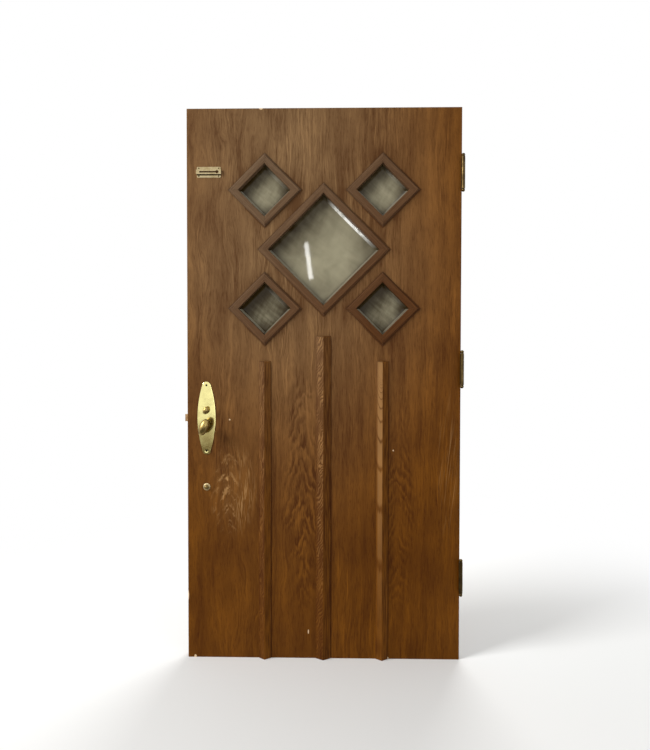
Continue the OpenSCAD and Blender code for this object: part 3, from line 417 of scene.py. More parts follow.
def weathered_and_shaded(tree, tone, x, z, room):
    """A tone as light, rubbing and dirt have changed it, with painted shadow beside the lite frames and
    along the ridges.
    """
    # Less bleached along the top
    top = add(tree, "MapRange", z, 1800, 2136, 0, 0.06)
    tone = add(tree, "Math", tone, top, operation="SUBTRACT")
    # A golden band down the upper hinge side
    golden = add(tree, "MapRange", x, 290, 410, 0, 0.13)
    tall = add(tree, "MapRange", z, 950, 1350)
    tone = add(tree, "Math", golden, tall, tone, operation="MULTIPLY_ADD")
    # Darker in a broad band about the lite frames
    for lite in LITES:
        middle, half = span_mm("lite_frame_" + lite)
        beside = add(tree, "Math", x, middle.x, operation="SUBTRACT")
        above = add(tree, "Math", z, middle.z, operation="SUBTRACT")
        out = diamond(tree, beside, above)
        halo = add(tree, "MapRange", out, half.x + 75, half.x, 0, 0.13)
        tone = add(tree, "Math", tone, halo, operation="SUBTRACT")
        # Painted shadow just outside each frame, darkest at the lower right, the side away from the light
        joint_shadow = add(tree, "MapRange", out, half.x + 9, half.x + 2, 0, -0.4)
        shaded_lower_right = add(tree, "MapRange", add(tree, "Math", beside, above, operation="SUBTRACT"), -30, 30,
                        0.1)
        tone = add(tree, "Math", joint_shadow, shaded_lower_right, tone, operation="MULTIPLY_ADD")
    # A dark line along the hinge side of each ridge, on the room face: painted shadow cast by the ridge, and
    # dirt
    for side in RIDGES:
        middle, half = span_mm("ridge_moulding_" + side)
        foot, head = middle.x + half.x, middle.z + half.z
        dirt = add(tree, "MapRange", x, foot + 6, foot + 2, 0, -0.4)
        past = add(tree, "Math", x, foot - 3, operation="GREATER_THAN")
        below = add(tree, "MapRange", z, head, head - 40)
        dirt = add(tree, "Math", dirt, add(tree, "Math", past, below, operation="MULTIPLY"),
                   operation="MULTIPLY")
        tone = add(tree, "Math", dirt, room, tone, operation="MULTIPLY_ADD")
    return tone


def worn_flecks(tree, place, x, z, patchy):
    """Share of bare pores where hands have worn the finish beside the lock: upright dashes gathered in
    arches of their own."""
    beside = add(tree, "Math", x, 367, operation="ADD")
    climb = add(tree, "Math", arm(tree, beside), 1.25, z, operation="MULTIPLY_ADD")
    climb = sway(tree, climb, mottle(tree, place, 5, 16, 2), 40)
    along = add(tree, "CombineXYZ", beside, 0, climb)
    stroke = add(tree, "MapRange", mottle(tree, along, 26, 16, 1), 0.48, 0.62)
    dash = add(tree, "MapRange", mottle(tree, place, 4, 20, 1), 0.4, 0.6, 0.5)
    stray = add(tree, "Math", mottle(tree, place, 60, 60, 1), 0.8, operation="MULTIPLY")
    phase = add(tree, "Math", add(tree, "Math", climb, 1 / 62, stray, operation="MULTIPLY_ADD"),
                operation="FRACT")
    arch = add(tree, "ValToRGB", phase, stops=((0.0, grey(1.0)), (1.0, grey(1.0)), (0.35, grey(1.0)),
                                               (0.5, grey(0.1)), (0.9, grey(0.1))))
    stroke = add(tree, "Math", add(tree, "Math", stroke, arch, operation="MULTIPLY"), dash,
                 operation="MULTIPLY")
    # Towards the ridge upright dashes stand alone
    alone = add(tree, "MapRange", x, -352, -325)
    upright = add(tree, "MapRange", mottle(tree, place, 4, 40, 1), 0.52, 0.66, 0, 0.7)
    fleck = add(tree, "MapRange", alone, 0, 1, stroke, upright)
    fleck = add(tree, "Math", fleck, add(tree, "Math", patchy, 0.6, 0.4, operation="MULTIPLY_ADD"),
                operation="MULTIPLY")
    # The whole patch is a little paler
    fleck = add(tree, "Math", fleck, 0.04, operation="ADD")
    worn = add(tree, "MapRange", spot(tree, place, *WORN), 1.05, 0.3)
    return add(tree, "Math", fleck, worn, operation="MULTIPLY")


def scratches(tree, place, x, z):
    """Share of long pale scratches by the hinge edge, which lean towards it."""
    leaning = add(tree, "CombineXYZ", add(tree, "Math", z, -0.113, x, operation="MULTIPLY_ADD"), 0, z)
    scratch = add(tree, "MapRange", mottle(tree, leaning, 5, 190, 2), 0.52, 0.7, 0, 0.27)
    scuffed = add(tree, "MapRange", spot(tree, place, *SCRATCHED), 1.0, 0.5)
    return add(tree, "Math", scratch, scuffed, operation="MULTIPLY")


def stained_oak(looks):
    """Oak veneer, brown stained and varnished by brush, worn: soft wavy upright streaks with arched
    grain low down, a low uneven gloss, pale pores where hands have worn the finish off beside the lock.
    Its stain is painted paler towards the upper left, partly as painted light, and painted shadow lies
    beside the lite frames and the ridges."""
    material, tree = new_material("stained_oak_varnished")
    place, x, y, z = in_mm(tree)
    room = add(tree, "Math", y, ROOM_SIDE, operation="LESS_THAN")
    patchy = add(tree, "MapRange", mottle(tree, place, 45, 90, 2), 0.33, 0.6)
    tone, bent, fine, pores = veneer(tree, place, x, y, z)
    tone = weathered_and_shaded(tree, tone, x, z, room)
    shown = add(tree, "Math", patchy, room, operation="MULTIPLY")
    tone = arched(tree, tone, place, bent, z, shown, looks.arch * 1000)
    wood = toned(tree, stain(tree, looks, x, z), tone)
    for marks in (worn_flecks(tree, place, x, z, patchy), scratches(tree, place, x, z)):
        marks = add(tree, "Math", marks, room, operation="MULTIPLY")
        wood = add(tree, "Mix", {0: marks, 6: wood, 7: (*looks.worn, 1)}, out=2, data_type="RGBA")
    for middle, reach in CHIPS:
        chip = spot(tree, place, middle, reach)
        chip = add(tree, "Math", fine, 0.6, chip, operation="MULTIPLY_ADD")
        chip = add(tree, "MapRange", chip, 1.35, 1.15)
        wood = add(tree, "Mix", {0: chip, 6: wood, 7: (*looks.bare, 1)}, out=2, data_type="RGBA")
    add(tree, "OutputMaterial", varnish(tree, wood, tone, pores))
    return material


def ridge_oak(looks, side, crest, rubbed, slant, dark):
    """Solid oak run to a ridge, stained with the face: the lock side rubbed paler and figured, partly wear
    and partly a painted sheen, by slanting streaks or, without a slant, by rings far apart, the hinge side
    plain, rich and painted darker as shade, with painted shadow and dirt along its foot. Slant is how far
    the streaks climb across the ridge, dark how deep the painted shade of the hinge side is."""
    material, tree = new_material("ridge_oak_varnished_" + side)
    place, x, y, z = in_mm(tree)
    across = add(tree, "Math", x, crest, operation="SUBTRACT")
    hinge_side = add(tree, "MapRange", across, -1, 1)
    fine = mottle(tree, place, 4, 60, 4, 0.6)
    tone = sway(tree, 0.49, mottle(tree, place, 26, 150, 2), 0.9)
    tone = sway(tree, tone, fine, 0.6)
    base = add(tree, "Mix", {0: add(tree, "Math", hinge_side, 0.6, operation="MULTIPLY"),
                             6: stain(tree, looks, x, z), 7: (*looks.rich, 1)}, out=2, data_type="RGBA")
    if not slant:
        # Rings cut at a low angle, so that they lie ever further apart down the ridge
        hollow = add(tree, "Math", add(tree, "Math", across, 5, operation="ADD"), 2, operation="POWER")
        hooked = add(tree, "MapRange", z, 640, 980, 0.05, 0.16)
        start = add(tree, "Math", hollow, hooked, 1100, operation="MULTIPLY_ADD")
        down = add(tree, "Math", add(tree, "Math", start, z, operation="SUBTRACT"), 5, operation="MAXIMUM")
        # They are counted from about 60 mm down, by the logarithm of the distance
        rings = sway(tree, 0, add(tree, "Math", down, math.e, operation="LOGARITHM"), 2.75, 4.09)
        rings = add(tree, "Math", fine, 0.25, rings, operation="MULTIPLY_ADD")
        figure = add(tree, "ValToRGB", add(tree, "Math", rings, operation="FRACT"),
                     stops=((0.0, grey(0.1)), (1.0, grey(0.15)), (0.07, grey(0.15)), (0.14, grey(0.9)),
                            (0.9, grey(1.0))))
    else:
        rings = add(tree, "Math", add(tree, "Math", across, -slant, z, operation="MULTIPLY_ADD"),
                    9 * slant, operation="DIVIDE")
        rings = add(tree, "Math", mottle(tree, place, 30, 60, 3), 5, rings, operation="MULTIPLY_ADD")
        figure = add(tree, "ValToRGB", add(tree, "Math", rings, operation="FRACT"),
                     stops=((0.0, grey(0.1)), (1.0, grey(0.2)), (0.3, grey(0.0)), (0.75, grey(1.0))))
        patchy = add(tree, "MapRange", mottle(tree, place, 30, 80, 2), 0.3, 0.62)
        figure = add(tree, "Math", figure, patchy, operation="MULTIPLY")
    lock_side = add(tree, "Math", 1, hinge_side, operation="SUBTRACT")
    depth = add(tree, "Math", lock_side, 0.42 if slant else 0.22, operation="MULTIPLY")
    tone = sway(tree, tone, figure, depth, 0.6)
    # The hinge side is painted darker by how far dark lies above the middle of its fine grain: painted
    # shade, as that side faces away from the light
    depth = add(tree, "Math", hinge_side, 2, operation="MULTIPLY")
    tone = sway(tree, tone, mottle(tree, place, 4, 70, 3), depth, dark)
    wood = toned(tree, base, tone)
    # The foot of the slope is not rubbed
    off_foot = add(tree, "MapRange", y, -26, -30)
    rub = add(tree, "Math", add(tree, "Math", figure, lock_side, operation="MULTIPLY"), off_foot,
              operation="MULTIPLY")
    # The pale rub and its painted sheen fade towards the bottom
    reached = add(tree, "MapRange", z, 150, 850, 0.1)
    rub = add(tree, "Math", rub, reached, operation="MULTIPLY")
    # The lock side takes the pale worn colour: partly wear, partly a painted sheen where that side catches
    # the light
    wood = add(tree, "Mix", {0: add(tree, "Math", rub, rubbed, operation="MULTIPLY"), 6: wood,
                             7: (*looks.worn, 1)}, out=2, data_type="RGBA")
    # Painted shadow and dirt along the foot of the hinge side
    foot = add(tree, "MapRange", y, -24.6, -22.8, 0, 0.8)
    wood = add(tree, "Mix", {0: add(tree, "Math", foot, hinge_side, operation="MULTIPLY"), 6: wood,
                             7: (*linear(RIDGE_FOOT_SHADOW_AND_DIRT), 1)}, out=2, data_type="RGBA")
    add(tree, "OutputMaterial", varnish(tree, wood, tone, fine))
    return material


def frame_oak(looks, lite, middle, reach):
    """Oak strip, stained darker and redder than the face and rubbed to a low sheen: fine straight
    grain along each of the four mitred strips, paler towards the upper left, partly bleached and partly
    painted light, with painted shade on the outer sides. Middle and reach place the frame in mm."""
    material, tree = new_material("dark_oak_frame_" + lite)
    x, y, z = in_mm(tree)[1:]
    # Paler towards the upper left of the door: partly bleaching, partly painted light falling from there
    bleached = add(tree, "MapRange", add(tree, "Math", z, x, operation="SUBTRACT"), 1100, 2100)
    x = add(tree, "Math", x, middle.x, operation="SUBTRACT")
    z = add(tree, "Math", z, middle.z, operation="SUBTRACT")
    # The strips of opposite quarters run the same way
    quarter = add(tree, "Math", add(tree, "Math", x, z, operation="MULTIPLY"), operation="SIGN")
    turned = add(tree, "Math", quarter, z, operation="MULTIPLY")
    across = add(tree, "Math", add(tree, "Math", x, turned, operation="ADD"), math.sqrt(0.5),
                 operation="MULTIPLY")
    along = add(tree, "Math", add(tree, "Math", x, turned, operation="SUBTRACT"), math.sqrt(0.5),
                operation="MULTIPLY")
    along = add(tree, "Math", quarter, 900, along, operation="MULTIPLY_ADD")
    strip = add(tree, "CombineXYZ", across, y, along)
    tone = sway(tree, 0.5, mottle(tree, strip, 11, 240, 2), 0.6)
    tone = sway(tree, tone, mottle(tree, strip, 3, 90, 4, 0.6), 0.6)
    pores = pore_lines(tree, strip)
    tone = add(tree, "Math", pores, -0.12, tone, operation="MULTIPLY_ADD")
    wood = toned(tree, add(tree, "Mix", {0: bleached, 6: (*looks.dark, 1), 7: (*looks.pale, 1)}, out=2,
                           data_type="RGBA"), tone)
    # Painted shade on the outer sides of the frame
    side = add(tree, "MapRange", diamond(tree, x, z), reach - 1.2, reach - 0.3, 0, 0.7)
    wood = add(tree, "Mix", {0: side, 6: wood, 7: (*linear(FRAME_SIDE_SHADE), 1)}, out=2, data_type="RGBA")
    add(tree, "OutputMaterial", varnish(tree, wood, tone, pores))
    return material


def bevelled_glass(looks, lite, middle, reach, dust, drawn, glint_share):
    """Old polished plate glass, bevelled and dusty: clear gloss under a cloudy grey olive film, full in
    the middle of the pane, thin in its corners, and thin and darker towards its upper left as a painted
    shadow of the frame. The film is left off the upper right bevel as a painted highlight, where the
    glass shows the light behind. Dust is the film's weight, drawn how far it has drawn together, and the
    last argument how strong that painted highlight is; middle and reach place the pane in mm."""
    material, tree = new_material("bevelled_plate_glass_" + lite)
    place, x, y, z = in_mm(tree)
    beside = add(tree, "Math", x, middle.x, operation="SUBTRACT")
    above = add(tree, "Math", z, middle.z, operation="SUBTRACT")
    sight = reach - SIGHT_INSET
    # The film thins towards the upper left; the darker colour there is painted shadow of the frame's reveal
    down_right = add(tree, "Math", add(tree, "Math", beside, above, operation="SUBTRACT"), sight,
                     operation="DIVIDE")
    film_and_light = add(tree, "MapRange", down_right, -1.3, 0.15, 0.05, 0.86, interpolation_type="SMOOTHSTEP")
    corner = add(tree, "MapRange", beside, sight * 0.45, sight * 0.95, 0, 0.6)
    film_and_light = add(tree, "Math", film_and_light, corner, operation="SUBTRACT")
    bottom = add(tree, "MapRange", above, -sight * 0.45, -sight * 0.95, 0, 0.3)
    film_and_light = add(tree, "Math", film_and_light, bottom, operation="SUBTRACT")
    cloud = add(tree, "TexNoise", {"Vector": place, "Scale": 1 / 85, "Detail": 2, "Roughness": 0.5,
                                   "Distortion": 0.8})
    slanted = add(tree, "VectorRotate", {"Vector": place, "Angle": math.radians(50)},
                  rotation_type="Y_AXIS")
    smear = mottle(tree, slanted, reach * 0.1, reach * 0.65, 2)
    crossed = add(tree, "VectorRotate", {"Vector": place, "Angle": math.radians(-25)},
                  rotation_type="Y_AXIS")
    wipe = mottle(tree, crossed, reach * 0.14, reach * 0.5, 3, 0.6)
    streaked = 0.24 * drawn
    film = sway(tree, film_and_light, cloud, 0.6)
    film = sway(tree, film, smear, streaked)
    film = add(tree, "MapRange", sway(tree, film, wipe, streaked), 0.05, 1.05)
    film = add(tree, "Math", add(tree, "Math", film, drawn, operation="POWER"), dust,
               operation="MULTIPLY")
    colour = add(tree, "Mix", {0: film, 6: (*looks.clear, 1), 7: (*looks.film, 1)}, out=2,
                 data_type="RGBA")
    # The facets are drawn flat, so that each bevel is one strip
    facet = add(tree, "NewGeometry", out="True Normal")
    out = diamond(tree, beside, above)
    inner = reach - BEVEL_INSET
    # On the street face the strip of painted highlight reaches 12 mm further in
    street = add(tree, "Math", y, 1.5, operation="GREATER_THAN")
    bevel = add(tree, "MapRange", add(tree, "Math", street, 12, out, operation="MULTIPLY_ADD"),
                inner - 0.2, inner + 0.2)
    # A painted highlight on the upper right bevel: there the film is left off, the glass lets the white
    # backdrop through, and noise breaks it up
    upper = add(tree, "Math", above, 0, operation="GREATER_THAN")
    # From 0 at the top corner to 1 at the right one
    along = add(tree, "Math", beside, out, operation="DIVIDE")
    starts = add(tree, "MapRange", along, 0.06, 0.24)
    ends = add(tree, "MapRange", along, 0.97, 0.7)
    strip = add(tree, "Math", add(tree, "Math", starts, ends, operation="MULTIPLY"),
                add(tree, "Math", upper, glint_share, operation="MULTIPLY"), operation="MULTIPLY")
    broken_glint = add(tree, "MapRange", mottle(tree, place, 40, 40, 1), 0.36, 0.56, 0.55, 1.0)
    strip = add(tree, "Math", strip, broken_glint, operation="MULTIPLY")
    glint = add(tree, "Math", strip, bevel, operation="MULTIPLY")
    # A pale line along the lower edges: a painted highlight where the bevels catch the light
    lower_glint = add(tree, "MapRange", out, inner + 6, inner + 8.4, 0, 0.55)
    lower_glint = add(tree, "Math", lower_glint, add(tree, "Math", 1, upper, operation="SUBTRACT"), operation="MULTIPLY")
    colour = add(tree, "Mix", {0: lower_glint, 6: colour, 7: (*linear(PANE_EDGE_GLINT), 1)}, out=2, data_type="RGBA")
    colour = add(tree, "Mix", {0: glint, 6: colour, 7: (*linear(BEVEL_GLINT), 1)}, out=2, data_type="RGBA")
    through = add(tree, "MapRange", glint, 0, 1, 0.05, 1.0)
    shader = add(tree, "BsdfPrincipled", {"Base Color": colour, "Roughness": 0.03, "IOR": 1.52,
                                          "Transmission Weight": through, "Normal": facet,
                                          "Specular IOR Level": 0.17})
    add(tree, "OutputMaterial", shader)
    return material


def brass(name, bright, dull, rough_low, rough_high, grain, dull_shade=None, dished=None):
    """Brass of one finish: cast or rolled, then polished, with tarnish in soft patches and a fine
    brushed grain of the given spacing in mm, about five times coarser than the real polishing lines,
    so that it shows in the render. The shade mask gives the share of painted shade at a place, which also
    dulls the metal there, and dished a point in mm about which a screw has drawn the metal in."""
    material, tree = new_material(name)
    place = in_mm(tree)[0]
    patch = add(tree, "TexNoise", {"Vector": place, "Scale": 1 / 38, "Detail": 5, "Roughness": 0.65})
    patch = add(tree, "MapRange", patch, 0.42, 0.72)
    rub = mottle(tree, place, grain, 25 * grain, 2)
    colour = add(tree, "Mix", {0: patch, 6: (*bright, 1), 7: (*dull, 1)}, out=2, data_type="RGBA")
    rough = add(tree, "Math", rub, 0.25, patch, operation="MULTIPLY_ADD")
    rough = add(tree, "MapRange", rough, 0.1, 1.2, rough_low, rough_high)
    if dull_shade:
        # Painted shade, darkening the brass with a dirt colour and dulling it
        dirt = dull_shade(tree, place)
        colour = add(tree, "Mix", {0: dirt, 6: colour, 7: (*linear(BRASS_SHADE), 1)}, out=2,
                     data_type="RGBA")
        rough = add(tree, "MapRange", dirt, 0, 1, rough, 0.75)
    bump = add(tree, "Bump", {"Strength": 0.02, "Distance": 0.0002, "Height": rub})
    if dished:
        away = add(tree, "VectorMath", place, dished, out="Value", operation="DISTANCE")
        dip = add(tree, "MapRange", away, 3.5, 7.5, interpolation_type="SMOOTHSTEP")
        bump = add(tree, "Bump", {"Strength": 1.0, "Distance": 0.001, "Height": dip, "Normal": bump})
    shader = add(tree, "BsdfPrincipled", {"Base Color": colour, "Metallic": 1.0, "Roughness": rough,
                                          "Normal": bump})
    add(tree, "OutputMaterial", shader)
    return material


def shade_behind_knob(tree, place):
    """Painted shade behind the heads of the knobs, where they face the plate."""
    y = add(tree, "SeparateXYZ", place, out=1)
    return add(tree, "MapRange", add(tree, "Math", y, operation="ABSOLUTE"), 76, 58, 0, 0.66)


def shade_under_channel(tree, place):
    """Painted shadow along the lower foot of the chain guard's channel, under its raised edge."""
    foot = span_mm("chain_guard_plate")[0].z - 10.5
    z = add(tree, "SeparateXYZ", place, out=2)
    away = add(tree, "Math", add(tree, "Math", z, foot, operation="SUBTRACT"), operation="ABSOLUTE")
    return add(tree, "MapRange", away, 2.4, 1.4, 0, 0.85)


def steel(name, pale, dark, rough_low, rough_high):
    """Bare oiled steel of one finish: dull grey with darker patches left by the mill."""
    material, tree = new_material(name)
    scale = add(tree, "TexNoise", {"Vector": in_mm(tree)[0], "Scale": 1 / 22, "Detail": 5,
                                   "Roughness": 0.6})
    colour = add(tree, "ValToRGB", scale, stops=((0.35, pale), (0.7, dark)))
    rough = add(tree, "MapRange", scale, 0.3, 0.7, rough_low, rough_high)
    shader = add(tree, "BsdfPrincipled", {"Base Color": colour, "Metallic": 1.0, "Roughness": rough})
    add(tree, "OutputMaterial", shader)
    return material


class DOOR_OT_slab(bpy.types.Operator):
    """Stain and varnish the oak slab"""
    bl_idname = "oak_door.slab"
    bl_label = "Oak Slab"

    def execute(self, context):
        dress(stained_oak(context.scene.oak_door.oak), "door_slab")
        return {"FINISHED"}


class DOOR_OT_ridges(bpy.types.Operator):
    """Stain the three ridge mouldings"""
    bl_idname = "oak_door.ridges"
    bl_label = "Ridge Mouldings"

    def execute(self, context):
        for side, (rubbed, slant, dark) in RIDGES.items():
            node = "ridge_moulding_" + side
            crest = span_mm(node)[0].x
            dress(ridge_oak(context.scene.oak_door.oak, side, crest, rubbed, slant, dark), node)
        return {"FINISHED"}


class DOOR_OT_lites(bpy.types.Operator):
    """Stain the lite frames and glaze the five lites"""
    bl_idname = "oak_door.lites"
    bl_label = "Diamond Lites"

    def execute(self, context):
        looks = context.scene.oak_door
        for lite, (dust, drawn, glint_share) in LITES.items():
            middle, half = span_mm("glass_" + lite)
            outer = span_mm("lite_frame_" + lite)[1].x
            dress(frame_oak(looks.frames, lite, middle, outer), "lite_frame_" + lite, "street_frame_" + lite)
            dress(bevelled_glass(looks.glass, lite, middle, half.x, dust, drawn, glint_share), "glass_" + lite)
        return {"FINISHED"}


class DOOR_OT_hinges(bpy.types.Operator):
    """Age the brass hinges"""
    bl_idname = "oak_door.hinges"
    bl_label = "Hinges"

    def execute(self, context):
        looks = context.scene.oak_door.brass
        aged = brass("aged_brass_hinge", looks.aged, linear("#32271a"), 0.35, 0.6, 1.5)
        dress(aged, *[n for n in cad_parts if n.startswith("hinge_")])
        return {"FINISHED"}


class DOOR_OT_lock(bpy.types.Operator):
    """Polish the lock trim, and finish the works of the mortise lock"""
    bl_idname = "oak_door.lock"
    bl_label = "Mortise Lock"

    def execute(self, context):
        looks = context.scene.oak_door.brass
        polish = (looks.plate, looks.tarnish, 0.1, 0.24, 0.6)
        plate = brass("polished_brass_plate", *polish)
        dress(plate, "street_escutcheon", "lock_cylinder", "cylinder_plug")
        # The lower screw has drawn the room plate in about its head
        low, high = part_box("escutcheon_screws")
        head = (high.x - low.x) / 2
        lower_screw = (Vector((low.x + head, low.y, low.z + head)) * 1000)[:]
        dress(brass("polished_brass_room_plate", *polish, dished=lower_screw), "room_escutcheon")
        ease("room_escutcheon", 0.0009)
        ease("street_escutcheon", 0.0009)
        front = brass("dull_brass_front", linear("#b0955c"), linear("#77613a"), 0.3, 0.5, 0.8)
        dress(front, "lock_front", "lock_front_screws", "deadbolt", "knob_hub", "turn_cam")
        knob = brass("handled_brass_knob", looks.knob, linear("#6f5b31"), 0.36, 0.5, 0.6, shade_behind_knob)
        dress(knob, "room_knob", "street_knob")
        dress(brass("handled_brass_turn", looks.knob, linear("#6f5b31"), 0.42, 0.56, 0.6), "turn_knob")
        screws = brass("blackened_brass_screw", linear("#2b2216"), linear("#17120b"), 0.4, 0.6, 0.8)
        dress(screws, "escutcheon_screws")
        dress(brass("rubbed_brass_latch", linear("#d8b183"), linear("#a5794d"), 0.2, 0.4, 0.8), "latch_bolt")
        dress(steel("rolled_steel_oiled", linear("#8d8c88"), linear("#5f5d59"), 0.3, 0.5),
              "lock_case", "lock_cover", "spindle", "knob_set_screws", "bolt_case", "bolt_cover")
        return {"FINISHED"}


class DOOR_OT_latch_spring(bpy.types.Operator):
    """Wind the latch spring"""
    bl_idname = "oak_door.latch_spring"
    bl_label = "Latch Spring"

    def execute(self, context):
        size = context.scene.oak_door.spring
        low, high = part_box("latch_spring")
        middle = (low + high) / 2
        length = high.x - low.x
        steps = STEPS_A_TURN * size.turns
        coil = bmesh.new()
        bmesh.ops.create_circle(coil, segments=WIRE_SIDES, radius=size.wire / 2)
        bmesh.ops.translate(coil, verts=coil.verts,
                            vec=(low.x + size.wire / 2, high.y - size.wire / 2, middle.z))
        bmesh.ops.spin(coil, geom=coil.verts[:] + coil.edges[:], cent=middle, axis=(1, 0, 0),
                       dvec=((length - size.wire) / steps, 0, 0),
                       angle=math.tau * size.turns, steps=steps, use_merge=False)
        bmesh.ops.holes_fill(coil, edges=coil.edges, sides=WIRE_SIDES)
        bmesh.ops.recalc_face_normals(coil, faces=coil.faces)
        spring = new_piece(context.scene, "latch_spring_coil", coil)
        spring.data.shade_smooth()
        spring.data.materials.append(
            steel("spring_steel_oiled", linear("#a3a29e"), linear("#77756f"), 0.22, 0.38))
        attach(spring, "leaf")
        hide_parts("latch_spring")
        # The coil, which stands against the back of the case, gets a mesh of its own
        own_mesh(spring)
        return {"FINISHED"}


class DOOR_OT_small_brass(bpy.types.Operator):
    """Finish the chain guard and the mortise bolt"""
    bl_idname = "oak_door.small_brass"
    bl_label = "Chain Guard and Bolt"

    def execute(self, context):
        looks = context.scene.oak_door.brass
        old = (looks.antique, linear("#8d7a52"), 0.3, 0.5, 0.8)
        antique = brass("antique_brass_plate", *old)
        dress(brass("antique_brass_guard", *old, shade_under_channel), "chain_guard_plate")
        ease("chain_guard_plate", 0.0005)
        dress(antique, "bolt", "bolt_hub", "bolt_front_screws")
        dress(brass("rubbed_brass_rose", linear("#c8b68c"), linear("#a8946a"), 0.5, 0.62, 0.8), "bolt_rose")
        ease("bolt_rose", 0.0012)
        dress(brass("handled_brass_small_turn", linear("#8a7548"), linear("#5a4825"), 0.45, 0.6, 0.6),
              "bolt_turn")
        dress(brass("dark_brass_guard_screw", looks.aged, linear("#241c11"), 0.4, 0.6, 0.8),
              "chain_guard_screws")
        return {"FINISHED"}


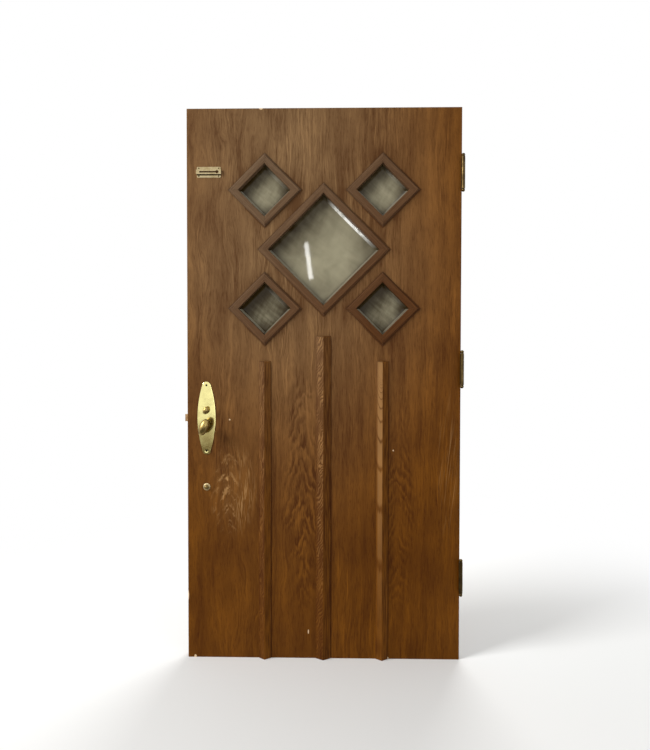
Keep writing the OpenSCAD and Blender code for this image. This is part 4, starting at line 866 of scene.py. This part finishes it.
class DOOR_OT_stage(bpy.types.Operator):
    """Set the floor, the backdrop, the lights and the camera"""
    bl_idname = "oak_door.stage"
    bl_label = "Studio Stage"

    def execute(self, context):
        looks = context.scene.oak_door.stage
        scene = context.scene
        scene.view_settings.view_transform = "Standard"
        self.floor(scene, looks)
        self.backdrop(scene)
        self.dark_card(scene)
        self.softbox(scene, "key_softbox", (-5.4, -2.9, 4.2), (0, 0, 1.1), 2.6, 2.6, looks.key)
        self.softbox(scene, "fill_softbox", (2.2, -3.4, 1.2), (0, 0, 0.8), 1.8, 1.8, looks.fill)
        back = self.softbox(scene, "back_softbox", (0.8, 3.2, 2.6), (0, 0, 1.1), 2.4, 2.4, looks.back)
        back.visible_transmission = False
        self.softbox(scene, "ceiling_tube", (-0.267, -4.5, 2.275), (-0.06, 0, 1.55), 0.048, 0.4, looks.tube,
                     roll=math.radians(8))
        lens = bpy.data.cameras.new("camera")
        lens.lens = looks.lens
        lens.sensor_width = 36
        camera = bpy.data.objects.new("camera", lens)
        camera.location = CAMERA_PLACE
        camera.rotation_euler = [math.radians(angle) for angle in CAMERA_TURN]
        scene.collection.objects.link(camera)
        scene.camera = camera
        return {"FINISHED"}

    def floor(self, scene, looks):
        """A round white floor just under the door, which fades into the backdrop."""
        shape = bmesh.new()
        bmesh.ops.create_circle(shape, cap_ends=True, segments=96, radius=9)
        bmesh.ops.translate(shape, verts=shape.verts, vec=(0, 0, -0.0005))
        floor = new_piece(scene, "studio_floor", shape)
        material, tree = new_material("matt_white_floor")
        where = add(tree, "TexCoord", out="Object")
        reach = add(tree, "VectorMath", where, out="Value", operation="LENGTH")
        far = add(tree, "MapRange", reach, 0.9, 2.6, interpolation_type="SMOOTHSTEP")
        paint = add(tree, "BsdfDiffuse", {"Color": (*looks.floor, 1)})
        white = add(tree, "Emission", {"Strength": 1.0})
        blank = add(tree, "Math", self.seen(tree), far, operation="MULTIPLY")
        add(tree, "OutputMaterial", add(tree, "MixShader", blank, paint, white))
        floor.data.materials.append(material)

    def dark_card(self, scene):
        """A dark cloth on the floor in front, seen by reflections alone, which shades the brass below."""
        shape = bmesh.new()
        bmesh.ops.create_grid(shape, x_segments=1, y_segments=1, size=0.5)
        bmesh.ops.scale(shape, verts=shape.verts, vec=(8, 8.2, 1))
        bmesh.ops.translate(shape, verts=shape.verts, vec=(-1, -4.5, 0.0005))
        card = new_piece(scene, "dark_card", shape)
        for ray in ("camera", "diffuse", "transmission", "volume_scatter", "shadow"):
            setattr(card, "visible_" + ray, False)
        material, tree = new_material("dark_cloth")
        where = add(tree, "TexCoord", out="Object")
        away = add(tree, "SeparateXYZ", where, out=1)
        tone = add(tree, "MapRange", away, -4.5, -8.5, 0.07, 0.33)
        add(tree, "OutputMaterial", add(tree, "Emission",
                                        {"Color": (*linear("#ffe6c8"), 1), "Strength": tone}))
        card.data.materials.append(material)

    def seen(self, tree):
        """1 for what is seen straight, in a reflection or through glass, 0 for what only gives light."""
        path = add(tree, "LightPath").node.outputs
        straight = add(tree, "Math", path["Is Camera Ray"], path["Is Glossy Ray"], operation="MAXIMUM")
        return add(tree, "Math", straight, path["Is Transmission Ray"], operation="MAXIMUM")

    def backdrop(self, scene):
        """A white world, which gives less light than it shows."""
        world = bpy.data.worlds.new("studio_backdrop")
        world.use_nodes = True
        tree = world.node_tree
        tree.nodes.clear()
        strength = add(tree, "MapRange", self.seen(tree), 0, 1, 0.34, 1.0)
        sky = add(tree, "Background", {"Color": (*linear("#ffffff"), 1), "Strength": strength})
        add(tree, "OutputWorld", sky)
        scene.world = world

    def softbox(self, scene, name, place, aim, width, height, power, roll=0.0):
        """An area light at a place, turned towards its aim and rolled about that line."""
        lamp = bpy.data.lights.new(name, "AREA")
        lamp.shape = "RECTANGLE"
        lamp.size = width
        lamp.size_y = height
        lamp.energy = power
        box = bpy.data.objects.new(name, lamp)
        box.location = place
        turn = (Vector(aim) - Vector(place)).to_track_quat("-Z", "Y")
        box.rotation_euler = (turn @ Quaternion((0, 0, 1), roll)).to_euler()
        scene.collection.objects.link(box)
        return box


class DOOR_PT_panel(bpy.types.Panel):
    bl_idname = "DOOR_PT_panel"
    bl_label = "Oak Entry Door"
    bl_space_type = "VIEW_3D"
    bl_region_type = "UI"
    bl_category = "Oak Door"

    def draw(self, context):
        looks = context.scene.oak_door
        for operator in OPERATORS:
            self.layout.operator(operator.bl_idname)
        for group in (looks.oak, looks.frames, looks.glass, looks.brass, looks.spring, looks.stage):
            box = self.layout.box()
            for name in group.__annotations__:
                box.prop(group, name)


OPERATORS = (DOOR_OT_slab, DOOR_OT_ridges, DOOR_OT_lites, DOOR_OT_hinges, DOOR_OT_lock,
             DOOR_OT_latch_spring, DOOR_OT_small_brass, DOOR_OT_stage)
CLASSES = (OakLooks, FrameLooks, GlassLooks, BrassLooks, SpringSize, StageLooks, DoorLooks,
           *OPERATORS, DOOR_PT_panel)


def register():
    for cls in CLASSES:
        bpy.utils.register_class(cls)
    bpy.types.Scene.oak_door = bpy.props.PointerProperty(
        name="Oak entry door", description="Finishes and stage of the door", type=DoorLooks)


def unregister():
    del bpy.types.Scene.oak_door
    for cls in reversed(CLASSES):
        bpy.utils.unregister_class(cls)


def main():
    register()
    bpy.ops.oak_door.slab()
    bpy.ops.oak_door.ridges()
    bpy.ops.oak_door.lites()
    bpy.ops.oak_door.hinges()
    bpy.ops.oak_door.lock()
    bpy.ops.oak_door.latch_spring()
    bpy.ops.oak_door.small_brass()
    bpy.ops.oak_door.stage()


if __name__ == "__main__":
    main()
